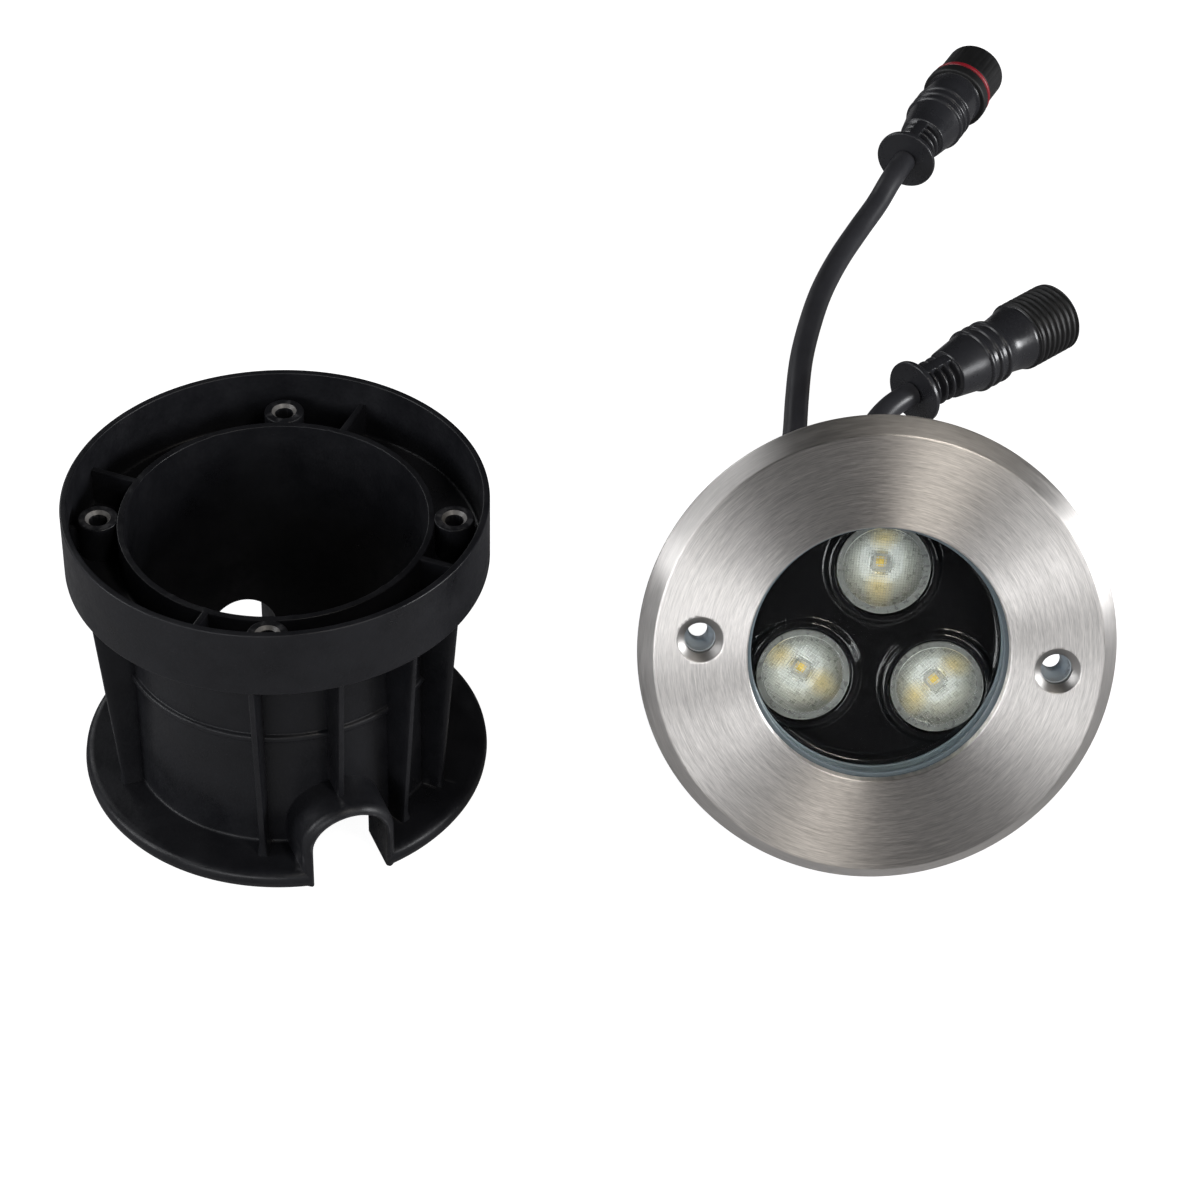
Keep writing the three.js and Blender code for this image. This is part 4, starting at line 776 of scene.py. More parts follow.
@dataclass
class MountingSleeve:
    """The moulded sleeve: base flange, ribbed wall, rim band with a pocket, bosses and cable tunnels."""

    place: Placement
    height: float = 78.4
    rim_r: float = 49.25
    rim_wall: float = 1.6
    band_z: float = 61.0
    pocket_floor: float = 1.8
    bore_r: float = 35.0
    wall: float = 1.6
    seat_z: float = 72.1
    base_r: float = 48.5
    base_t: float = 4.6
    edge: float = 2.2
    root: float = 0.8
    ridge_z: float = 37.0
    ridge_h: float = 0.95
    rib_t: float = 1.8
    rib_angles: tuple[float, ...] = (23, 85, 110.5, 135, 155.5)
    rib_top_r: float = 46.3
    rib_foot_r: float = 41.5
    pocket_rib_t: float = 1.5
    pocket_rib_angles: tuple[float, ...] = (67, 157, 247, 337)
    boss_r: float = 4.7
    boss_pitch_r: float = 41.0
    boss_angles: tuple[float, ...] = (0, 90, 180, 270)
    screw_r: float = 2.2
    screw_chamfer: float = 0.75
    tunnel_angles: tuple[float, ...] = (111, 291)
    tunnel_w: float = 18.0
    tunnel_h: float = 20.0
    hood_wall: float = 2.4
    flash: float = 0.16

    def shell(self) -> bpy.types.Object:
        """Base, wall, band and rim in one turned outline, with a little flash left on the bore's edge.

        The flash adds a sum of sines of the angle to the heights of the bore's upper edge.
        """
        out = self.bore_r + self.wall
        rim_in = self.rim_r - self.rim_wall
        floor = self.band_z + self.pocket_floor
        outline = rounded([
            (self.bore_r, 0, 0.3), (self.base_r, 0, self.edge), (self.base_r, self.base_t, self.edge),
            (out, self.base_t, self.root), (out, self.ridge_z - 1.1, 0.3),
            (out + self.ridge_h, self.ridge_z - 0.7, 0.5), (out + self.ridge_h, self.ridge_z + 0.7, 0.5),
            (out, self.ridge_z + 1.1, 0.3), (out, self.band_z, self.root), (self.rim_r, self.band_z, self.root),
            (self.rim_r, self.height, 0.45), (rim_in, self.height, 0.35), (rim_in, floor, 1.0),
            (out, floor, 1.0), (out, self.seat_z, 0.25), (self.bore_r, self.seat_z, 0.25),
        ])
        points = revolve(outline, 2 * FINE)
        angle = np.arange(2 * FINE)[:, None] * (math.pi / FINE)
        waves = np.sin(31 * angle + 1) + np.sin(47 * angle) + np.sin(9 * angle + 2)
        waves = waves + 0.6 * np.sin(83 * angle + 4)
        uneven = self.flash * np.clip(waves - 0.9, 0, 1.4) / 1.4
        on_edge = (outline[:, 1] > self.seat_z - 0.3) & (outline[:, 0] < out + 0.1)
        points[..., 2] += uneven * on_edge[None, :] * (outline[None, :, 0] < self.bore_r + 0.9)
        return grid_object("sleeve_moulding", self.place.put(points), wrap_v=True)

    def outer_rib(self, degrees: float) -> bpy.types.Object:
        """A rib on the wall: a rounded rectangle carried upwards, reaching further out the higher it is."""
        inner = self.bore_r + self.wall / 2
        z = np.linspace(self.base_t / 2, self.band_z + 0.5, 24)
        reach = np.interp(z, [self.base_t, self.band_z], [self.rib_foot_r, self.rib_top_r])
        spread = 0.5 * (1 - ease(z, self.base_t, self.base_t + 2.5))
        box = round_box(1.0, 1.0, 0.55)
        x = inner + (reach - inner)[:, None] * (box[:, 0] + 1)[None] / 2 + spread[:, None] * (box[:, 0] > 0)
        y = (self.rib_t / 2 + spread)[:, None] * box[None, :, 1]
        sections = np.stack([x, y, np.broadcast_to(z[:, None], x.shape)], axis=-1)
        return section_object("outer_rib", self.place.turned(degrees), sections)

    def pocket_rib(self, degrees: float, low_r: float, top: float) -> bpy.types.Object:
        """A thin web across the pocket, up to a height."""
        high_r = self.rim_r - self.rim_wall / 2
        z = np.array([self.band_z + 0.5, top - 0.3, top - 0.08, top])
        half = self.pocket_rib_t / 2 - np.array([0, 0, 0.08, 0.3])
        box = np.array([[1.0, -1.0], [1.0, 1.0], [-1.0, 1.0], [-1.0, -1.0]])
        x = (low_r + high_r) / 2 + (high_r - low_r) / 2 * np.broadcast_to(box[:, 0], (4, 4))
        y = half[:, None] * box[None, :, 1]
        sections = np.stack([x, y, np.broadcast_to(z[:, None], (4, 4))], axis=-1)
        return section_object("pocket_rib", self.place.turned(degrees), sections)

    def arch(self, half: float, crown: float, inset: Array, reach: Array) -> Array:
        """Arched sections one behind the other, each bent to lie on a cylinder about the sleeve's axis.

        A section is a half circle over a straight skirt. The inset makes it smaller all round, and a point at
        sideways distance y lies at depth sqrt(reach^2 - y^2).

        Args:
            half: Half the arch's width.
            crown: Height of the half circle's centre.
            inset: How much smaller each section is.
            reach: Each section's distance from the sleeve's axis.

        Returns:
            Sections by points by 3, along +x.
        """
        t = np.linspace(0, np.pi, 33)
        side = np.concatenate([[half], half * np.cos(t), [-half]])
        rise = np.concatenate([[-3.0 - crown], half * np.sin(t), [-3.0 - crown]])
        shrink = 1 - inset[:, None] / half
        y, z = side[None] * shrink, crown + rise[None] * np.where(rise > 0, shrink, 1.0)
        x = np.sqrt(np.maximum(reach[:, None] ** 2 - y**2, 0))
        return np.stack([x, y, z], axis=-1)

    def hood(self, degrees: float) -> bpy.types.Object:
        """The arched hood over a tunnel, its front edge rounded like the base's."""
        half = self.tunnel_w / 2 + self.hood_wall
        turn = np.linspace(0, np.pi / 2, 8)
        lip = self.edge
        reach = np.concatenate([[self.bore_r + 0.8], self.base_r - lip + lip * np.sin(turn)])
        inset = np.concatenate([[0.0], lip * (1 - np.cos(turn)) * 0.98])
        sections = self.arch(half, self.tunnel_h - self.tunnel_w / 2, inset, reach)
        sections[..., 2] = np.maximum(sections[..., 2], 0.6)
        return section_object("hood", self.place.turned(degrees), sections)

    def tunnel(self, degrees: float) -> bpy.types.Object:
        """The space of a tunnel, which widens a little at its mouth."""
        turn = np.linspace(0, np.pi / 2, 6)
        lip = 0.9
        reach = np.concatenate([[22.0], self.base_r - lip + lip * np.sin(turn), [self.base_r + 6]])
        inset = np.concatenate([[0.0], -lip * (1 - np.cos(turn)), [-lip]])
        sections = self.arch(self.tunnel_w / 2, self.tunnel_h - self.tunnel_w / 2, inset, reach)
        return section_object("tunnel", self.place.turned(degrees), sections)

    def build(self) -> bpy.types.Object:
        """The whole sleeve, dressed."""
        inner = self.bore_r + self.wall / 2
        added = [self.outer_rib(a + half) for half in (0, 180) for a in self.rib_angles]
        added += [self.pocket_rib(a, inner, self.seat_z) for a in self.pocket_rib_angles]
        cut = []
        for a in self.boss_angles:
            spot = self.place.turned(a).moved(x=self.boss_pitch_r)
            top = self.seat_z
            added.append(self.pocket_rib(a, self.boss_pitch_r, top - 2.5))
            added.append(turned_object("boss", spot, [(0, self.band_z + 0.5), (self.boss_r, self.band_z + 0.5),
                                                      (self.boss_r, top, 0.35), (0, top)], COARSE))
            wide = self.screw_r + self.screw_chamfer
            cut.append(turned_object("screw_hole", spot, [
                (0, self.band_z + 1.5), (self.screw_r, self.band_z + 1.5),
                (self.screw_r, top - self.screw_chamfer), (wide, top), (wide, top + 1), (0, top + 1)], COARSE))
        added += [self.hood(a) for a in self.tunnel_angles]
        cut += [self.tunnel(a) for a in self.tunnel_angles]
        sleeve = combine(combine(self.shell(), added, Union.JOIN), cut, Union.CUT)
        finish_piece(sleeve, [SLEEVE_PLASTIC, SCUFFED], Body.SLEEVE, ["mounting_sleeve"])
        local = (face_centres(sleeve) - np.asarray(self.place.origin)) / MM
        turn = np.radians(self.boss_angles)
        spots = self.boss_pitch_r * np.stack([np.cos(turn), np.sin(turn)], axis=-1)
        away = np.linalg.norm(local[:, None, :2] - spots, axis=-1).min(1)
        seat = (away < self.screw_r + self.screw_chamfer) & (away > self.screw_r + 0.1)
        seat &= (local[:, 2] > self.seat_z - self.screw_chamfer) & (local[:, 2] < self.seat_z - 0.02)
        sleeve.data.polygons.foreach_set("material_index", seat.astype(np.int32))
        return sleeve


# ---------------------------------------------------------------------------------------------
# Lamp
# ---------------------------------------------------------------------------------------------


@dataclass
class LampFront:
    """Trim ring, window glass, gaskets, inner cover and grommets. Depths run rearwards, along -z."""

    place: Placement
    ring_r: float = 55.0
    ring_t: float = 6.0
    bevel_w: float = 3.5
    bevel_t: float = 5.0
    plate_t: float = 3.0
    recess_r: float = 46.5
    window_r: float = 30.0
    pitch_r: float = 41.0
    hole_r: float = 3.6
    sink_r: float = 5.25
    sink_t: float = 1.7
    glass_r: float = 34.0
    gasket_r: float = 29.0
    cavity_r: float = 31.3
    lens_r: float = 10.75
    lens_pitch_r: float = 18.0
    lens_spins: tuple[float, ...] = (0.0, 62.0, -44.0)

    def ring(self) -> bpy.types.Object:
        """The brushed ring with its bevel and two countersunk holes."""
        face = BrushedSteel("brushed_stainless", self.place, (0.67, 0.645, 0.62), 0.4, 0.93, 1.7, 0.9)
        bevel = BrushedSteel("brushed_stainless_bevel", self.place, (0.64, 0.62, 0.6), 0.44, 0.85, 0.7, 0.4)
        rows = np.linspace(self.ring_r - self.bevel_w - 0.7, self.window_r + 0.7, 30)
        ring = turned_object("stainless_ring", self.place, [
            (self.window_r, -self.plate_t, 0.15), (self.recess_r, -self.plate_t),
            (self.recess_r, -self.ring_t, 0.2), (self.ring_r, -self.ring_t, 0.3), (self.ring_r, -self.bevel_t, 0.3),
            (self.ring_r - self.bevel_w, 0, 0.3), *[(r, 0.0) for r in rows], (self.window_r, 0, 0.3)], 2 * FINE)
        slope = (self.sink_r - self.hole_r) / self.sink_t
        tools = [turned_object("sink", self.place.moved(x=side * self.pitch_r), [
            (0, -self.plate_t - 1), (self.hole_r, -self.plate_t - 1), (self.hole_r, -self.sink_t),
            (self.sink_r - 0.12 * slope, -0.12), (self.sink_r + 0.12, 0), (self.sink_r + 0.12, 1), (0, 1)],
            MEDIUM)
            for side in (-1, 1)]
        combine(ring, tools, Union.CUT)
        local = self.place.own_centres(ring)
        radius = np.hypot(local[:, 0], local[:, 1])
        from_holes = [np.hypot(local[:, 0] - s * self.pitch_r, local[:, 1]) for s in (-1, 1)]
        in_hole = np.min(from_holes, axis=0) < self.sink_r + 0.13
        kind = np.where(radius > self.ring_r - self.bevel_w + 0.05, 1, 0)
        finish_piece(ring, [face, bevel, COUNTERSUNK], Body.LAMP, ["trim_ring"],
                     weighted=False)
        ring.data.polygons.foreach_set("material_index", np.where(in_hole, 2, kind).astype(np.int32))
        return ring

    def glass(self) -> bpy.types.Object:
        """The window glass with a polished chamfer."""
        front, back = -4.9, -9.9
        glass = turned_object("window_pane", self.place, [
            (0, back), (self.glass_r, back, 0.4), (self.glass_r, front, 0.4), (0, front)], 2 * FINE)
        return finish_piece(glass, [GLASS], Body.LAMP, ["window_glass"])

    def gaskets(self) -> None:
        """The flat gaskets in front of and behind the glass, with soft inner edges."""
        for name, front, back, node in (("front_gasket_ring", -3.3, -4.6, "front_glass_gasket"),
                                        ("rear_gasket_ring", -10.2, -11.2, "rear_glass_gasket")):
            gasket = turned_object(name, self.place, [
                (self.gasket_r, back, 0.3), (self.glass_r, back), (self.glass_r, front),
                (self.gasket_r, front, 0.3)], FINE)
            finish_piece(gasket, [SILICONE], Body.LAMP, [node])

    def lens_spots(self) -> list[Placement]:
        """Where the lenses stand and how they are turned, the first one at the top."""
        turns = [self.place.turned(90 + 120 * i) for i in range(3)]
        return [turn.moved(x=self.lens_pitch_r).turned(spin - 90 - 120 * i)
                for i, (turn, spin) in enumerate(zip(turns, self.lens_spins))]

    def inner_cover(self) -> bpy.types.Object:
        """The glossy cover behind the glass: a plate with a rounded collar round each lens."""
        well = self.lens_r + 0.6
        plate, back, crown = -13.2, -15.0, -11.8
        cover = turned_object("gloss_cover", self.place, [
            (0, back), (self.cavity_r, back), (self.cavity_r, crown, 0.5), (self.cavity_r - 1.7, crown, 0.6),
            (self.cavity_r - 2.6, plate, 0.8), (0, plate)], 2 * FINE)
        collars, wells = [], []
        for spot in self.lens_spots():
            collars.append(turned_object("collar", spot, [
                (well - 1, back + 0.1), (well + 3.3, back + 0.1), (well + 3.3, plate - 0.05),
                (well + 2.0, plate + 0.05, 0.8), (well + 1.5, crown, 0.7), (well, crown, 0.45),
                (well - 1, crown - 0.4)], 2 * MEDIUM))
            wells.append(turned_object("well", spot, [(0, back - 1), (well, back - 1), (well, crown - 0.5),
                                                      (well + 0.02, crown + 1), (0, crown + 1)], 2 * MEDIUM))
        keep = turned_object("cover_edge", self.place, [
            (0, back), (self.cavity_r, back), (self.cavity_r, 0), (0, 0)], 2 * FINE)
        combine(combine(cover, collars, Union.JOIN), [keep], Union.COMMON)
        combine(cover, wells, Union.CUT)
        return finish_piece(cover, [GLOSS_BLACK], Body.LAMP, ["inner_cover"])

    def grommets(self) -> None:
        """The soft tapered grommets behind the mounting holes."""
        for number, side in ((1, -1), (2, 1)):
            piece = turned_object(f"soft_grommet_{number}", self.place.moved(x=side * self.pitch_r), [
                (3.4, -3.3, 0.25), (3.25, -5.5, 0.6), (2.3, -8.2, 0.6), (2.2, -11.7, 0.2), (3.9, -11.7, 0.2),
                (3.9, -3.3, 0.2)], COARSE)
            finish_piece(piece, [GROMMET], Body.LAMP, [f"hole_grommet_{number}"])

    def build(self) -> None:
        """Every piece of the lamp's front."""
        self.ring()
        self.glass()
        self.gaskets()
        self.inner_cover()
        self.grommets()


@dataclass
class Optic:
    """One lens with its emitter."""

    number: int
    place: Placement
    radius: float = 10.75
    face: float = -11.5
    rim_back: float = -12.8
    foot: float = -21.6
    pattern_r: float = 9.5

    def lens(self) -> bpy.types.Object:
        """A clear lens: a patterned face, a polished rim, a curved side that throws light forward, a pocket.

        The second UV map, "face", holds the distances across the face in metres.
        """
        side_z = np.linspace(self.rim_back, self.foot, 14)
        t = (self.rim_back - side_z) / (self.rim_back - self.foot)
        side_r = 9.2 - 4.0 * t**1.45
        outline = [(0, self.face), (self.pattern_r, self.face), (self.pattern_r + 0.15, self.face - 0.12),
                   (self.radius, self.face - 0.12, 0.3), (self.radius, self.rim_back, 0.15)]
        outline += [(float(r), float(z)) for r, z in zip(side_r, side_z)]
        outline += [(3.1, self.foot), (2.75, -18.6, 0.8), (0, -17.9)]
        lens = turned_object(f"moulded_lens_{self.number}", self.place, outline, MEDIUM)
        mesh = lens.data
        axes = np.array([self.place.x, self.place.y, self.place.z])
        co = np.zeros(len(mesh.vertices) * 3, np.float32)
        mesh.vertices.foreach_get("co", co)
        loop = np.zeros(len(mesh.loops), np.int32)
        mesh.loops.foreach_get("vertex_index", loop)
        flat = (co.reshape(-1, 3) - np.asarray(self.place.origin)) @ axes.T
        mesh.uv_layers.new(name="face").data.foreach_set("uv", flat[loop, :2].astype(np.float32).ravel())
        local = self.place.own_centres(lens)
        radius, z = np.hypot(local[:, 0], local[:, 1]), local[:, 2]
        kind = np.where((z > self.face - 0.01) & (radius < self.pattern_r + 0.1), 0, 1)
        kind = np.where((z < self.rim_back + 0.02) & (radius > 3.2), 2, kind)
        finish_piece(lens, [LENS_FACE, LENS_RIM, LENS_SIDE_PAINTED_LIGHT], Body.LAMP, [f"lens_{self.number}"])
        mesh.polygons.foreach_set("material_index", kind.astype(np.int32))
        return lens

    def emitter(self) -> bpy.types.Object:
        """A white base with rounded edges and a yellow dome."""
        z = np.array([-22.6, -22.5, -21.75, -21.6])
        half = np.array([1.65, 1.75, 1.75, 1.62])
        box = round_box(1.0, 1.0, 0.15)
        heights = np.broadcast_to(z[:, None, None], (4, len(box), 1))
        sections = np.concatenate([half[:, None, None] * box[None], heights], axis=-1)
        base = section_object(f"emitter_chip_{self.number}", self.place, sections)
        dome = turned_object("dome", self.place, [
            (0, -22.1), (1.4, -22.1), (1.4, -21.5, 0.3), (1.3, -20.6, 0.7), (0, -20.2)], COARSE)
        combine(base, [dome], Union.JOIN)
        centres = self.place.own_centres(base)
        yellow = (centres[:, 2] > -21.59) & (np.hypot(centres[:, 0], centres[:, 1]) < 1.45)
        finish_piece(base, [CERAMIC, PHOSPHOR], Body.LAMP, [f"emitter_{self.number}"])
        base.data.polygons.foreach_set("material_index", yellow.astype(np.int32))
        return base

    def build(self) -> None:
        """Both pieces."""
        self.lens()
        self.emitter()


@dataclass
class LampRear:
    """Housing, rear cover, glands, nuts and screws."""

    place: Placement
    flange_r: float = 46.2
    hub_r: float = 38.0
    barrel_front_r: float = 34.0
    barrel_rear_r: float = 32.5
    seat: float = 12.0
    end: float = 50.0
    body_l: float = 54.3
    cover_s: float = 51.4
    pitch_r: float = 41.0
    boss_r: float = 5.2
    gland_x: float = 13.0
    gland_s: float = 54.6
    hex_t: float = 4.5
    flats: float = 17.0
    nut_s: float = 59.4
    nut_l: float = 12.1
    cord_r: float = 3.25
    screw_pitch_r: float = 25.6
    clamp_angles: tuple[float, ...] = (45, 135, 225, 315)

    def housing(self) -> bpy.types.Object:
        """The cast housing: flange, hub, tapered barrel and the two bosses for the mounting screws."""
        body = turned_object("cast_housing", self.place, [
            (self.flange_r, -3.3, 0.3), (34.3, -3.3), (34.3, -11.5), (31.6, -11.5), (31.6, -25.6), (3.5, -25.6),
            (3.5, -28.6), (29.7, -28.6), (29.7, -self.end), (self.barrel_rear_r, -self.end, 0.5),
            (self.barrel_front_r, -self.seat, 0.6), (self.hub_r, -self.seat, 0.6), (self.hub_r, -8.0, 0.9),
            (self.flange_r, -8.0, 0.5)], 2 * FINE)
        bosses, holes = [], []
        for side in (-1, 1):
            spot = self.place.moved(x=side * self.pitch_r)
            bosses.append(turned_object("screw_boss", spot, [(0, -self.seat), (self.boss_r, -self.seat, 0.4),
                                                             (self.boss_r, -7.0), (0, -7.0)], COARSE))
            holes.append(turned_object("grommet_hole", spot, [(0, -13), (4.2, -13), (4.2, -2), (0, -2)], COARSE))
        combine(combine(body, bosses, Union.JOIN), holes, Union.CUT)
        return finish_piece(body, [POWDER_COAT], Body.LAMP, ["lamp_housing"])

    def rear_cover(self) -> bpy.types.Object:
        """The rear cover: a round plate with a stepped centre field and recesses for its screws."""
        cover = turned_object("rear_plate", self.place, [
            (0, -47.0), (29.4, -47.0, 0.3), (29.4, -self.cover_s), (self.barrel_rear_r, -self.cover_s, 0.3),
            (self.barrel_rear_r, -self.body_l, 0.8), (30.2, -self.body_l, 0.2), (29.7, -self.body_l + 0.5, 0.2),
            (29.2, -self.body_l, 0.2), (0, -self.body_l)], 2 * FINE)
        holes = []
        for side in (-1, 1):
            holes.append(turned_object("gland_hole", self.place.moved(x=side * self.gland_x), [
                (0, -56), (7.8, -56), (7.8, -46), (0, -46)], COARSE))
        for angle in self.clamp_angles:
            spot = self.place.turned(angle).moved(x=self.screw_pitch_r)
            holes.append(turned_object("screw_recess", spot, [
                (0, -56), (2.8, -56), (2.8, -52.5), (1.55, -52.5), (1.55, -46), (0, -46)], COARSE))
        combine(cover, holes, Union.CUT)
        return finish_piece(cover, [COVER_PLASTIC], Body.LAMP, ["rear_cover"])

    def hexagon(
        self, name: str, spot: Placement, outline: Sequence[Point], from_s: float, to_s: float
    ) -> bpy.types.Object:
        """A turned piece whose middle stretch is a hexagon with rounded corners.

        Between the two depths the radius is the lesser of the outline's and a / cos(t), with a the half width across
        flats and t the angle from the nearest flat's middle.
        """
        def radius(r: Array, t: Array, z: Array) -> Array:
            """The lesser of the outline's radius and the hexagon's, with its corners drawn in."""
            off = (t + np.pi / 6) % (np.pi / 3) - np.pi / 6
            flat = np.minimum(self.flats / 2 / np.cos(off), self.flats / math.sqrt(3) - 0.35)
            inside = (z <= -from_s + TINY) & (z >= -to_s - TINY) & (r > self.flats / 2 - 1.2)
            return np.where(inside, np.minimum(r, flat), r)

        return turned_object(name, spot, outline, 3 * COARSE, radius=radius)

    def gland(self, number: int, side: int, body: Body) -> None:
        """A gland's body and its dome nut."""
        spot = self.place.moved(x=side * self.gland_x)
        hex_end = self.gland_s + self.hex_t
        point = self.flats / math.sqrt(3)
        base = self.hexagon(f"gland_base_{number}", spot, [
            (5.6, -48.0), (7.5, -48.0), (7.5, -self.gland_s), (8.6, -self.gland_s), (point, -self.gland_s - 0.6),
            (point, -hex_end + 0.6), (8.6, -hex_end), (7.2, -hex_end), (7.2, -65.7, 0.2), (5.6, -65.7)],
            self.gland_s, hex_end)
        finish_piece(base, [GLAND_PLASTIC], Body.LAMP, [f"gland_body_{number}"])
        end = self.nut_s + self.nut_l
        mouth = self.cord_r + 0.4
        nut = self.hexagon(f"dome_nut_{number}", spot, [
            (7.5, -self.nut_s), (8.5, -self.nut_s), (point, -self.nut_s - 0.8), (point, -end + 5.2),
            (9.1, -end + 4.3, 0.5), (8.6, -end + 2.6, 1.2), (6.6, -end + 0.1, 1.4), (mouth + 0.7, -end, 0.3),
            (mouth, -end, 0.3), (mouth, -66.0), (7.5, -66.0)], self.nut_s, end)
        finish_piece(nut, [GLAND_PLASTIC], body, [f"gland_nut_{number}"])

    def screws(self) -> None:
        """Round-headed screws with a socket in the head, in the flange and in the rear cover."""
        kinds = (("ring_screw", self.pitch_r, 8.3, 7.0), ("cover_screw", self.screw_pitch_r, 52.8, 12.3))
        for name, pitch, head, length in kinds:
            for i, angle in enumerate(self.clamp_angles):
                spot = self.place.turned(angle).moved(x=pitch)
                screw = turned_object(f"steel_{name}_{i + 1}", spot, [
                    (0, -head + length), (1.25, -head + length - 0.8), (1.25, -head), (2.5, -head),
                    (2.5, -head - 0.7, 0.4), (1.9, -head - 1.5, 0.6), (0, -head - 1.5)], COARSE)
                socket = turned_object("socket", spot, [(0, -head - 2), (0.85, -head - 2), (0.85, -head - 0.6),
                                                        (0, -head - 0.6)], 6)
                combine(screw, [socket], Union.CUT)
                finish_piece(screw, [SCREW_STEEL], Body.LAMP, [f"{name}_{i + 1}"])

    def build(self) -> None:
        """Every piece of the lamp's rear."""
        self.housing()
        self.rear_cover()
        self.gland(1, -1, Body.NUT_1)
        self.gland(2, 1, Body.NUT_2)
        self.screws()


# ---------------------------------------------------------------------------------------------
# Tails and connectors
# ---------------------------------------------------------------------------------------------


def laid(base: Point, rest_r: float, heading: float) -> Placement:
    """A connector's placement: its axis lies along a heading, at a height, and its -x points up."""
    c, s = math.cos(math.radians(heading)), math.sin(math.radians(heading))
    return Placement((base[0] * MM, base[1] * MM, rest_r * MM), (0.0, 0.0, -1.0), (-s, c, 0.0), (c, s, 0.0))


def smooth_route(route: Array, steps: int) -> Array:
    """A centripetal spline through the route's points, by the Barry and Goldman formula.

    Each stretch from one point to the next uses its neighbours on both sides, with knots spaced by the square root
    of the distances. The ends are continued in a straight line.

    Args:
        route: The points.
        steps: Points on each stretch.

    Returns:
        The line's points.
    """
    p = np.vstack([2 * route[0] - route[1], route, 2 * route[-1] - route[-2]])
    gap = np.sqrt(np.linalg.norm(np.diff(p, axis=0), axis=1))
    knot = np.concatenate([[0], np.cumsum(gap)])[:, None]
    a, b, c, d = (p[i:len(p) - 3 + i][:, None] for i in range(4))
    ta, tb, tc, td = (knot[i:len(p) - 3 + i][:, None] for i in range(4))
    t = tb + (tc - tb) * np.linspace(0, 1, steps, endpoint=False)[None, :, None]

    def blend(low: Array, high: Array, first: Array, second: Array) -> Array:
        """Two points mixed by where t lies between two knots."""
        return ((high - t) * first + (t - low) * second) / (high - low)

    ab, bc, cd = blend(ta, tb, a, b), blend(tb, tc, b, c), blend(tc, td, c, d)
    line = blend(tb, tc, blend(ta, tc, ab, bc), blend(tb, td, bc, cd))
    return np.vstack([line.reshape(-1, 3), route[-1:]])


@dataclass
class Tail:
    """A cable tail that follows a route on the bench."""

    name: str
    node: str
    route: tuple[tuple[float, float, float], ...]
    exit_point: tuple[float, float, float]
    radius: float = 3.25
    sides: int = 40
    steps: int = 14

    def build(self) -> tuple[bpy.types.Object, Array]:
        """The tail as a round section carried along its line.

        The section's first axis is the part of +z that is square to the line, and the second completes it.

        Returns:
            The piece and the line it follows, in metres.
        """
        line = smooth_route(np.array(self.route), self.steps)
        along = unit(np.gradient(line, axis=0))
        up = unit(np.array([0.0, 0.0, 1.0]) - along[:, 2:] * along)
        side = np.cross(along, up)
        t = np.arange(self.sides) * (2 * np.pi / self.sides)
        ring = up[:, None] * np.cos(t)[None, :, None] + side[:, None] * np.sin(t)[None, :, None]
        piece = section_object(self.name, Placement((0.0, 0.0, 0.0)), line[:, None] + self.radius * ring)
        finish_piece(piece, [CORD_JACKET], Body.LAMP, [self.node], weighted=False)
        return piece, line * MM

    def declare(self, piece: bpy.types.Object, line: Array, pieces: Sequence[bpy.types.Object]) -> None:
        """Does nothing."""


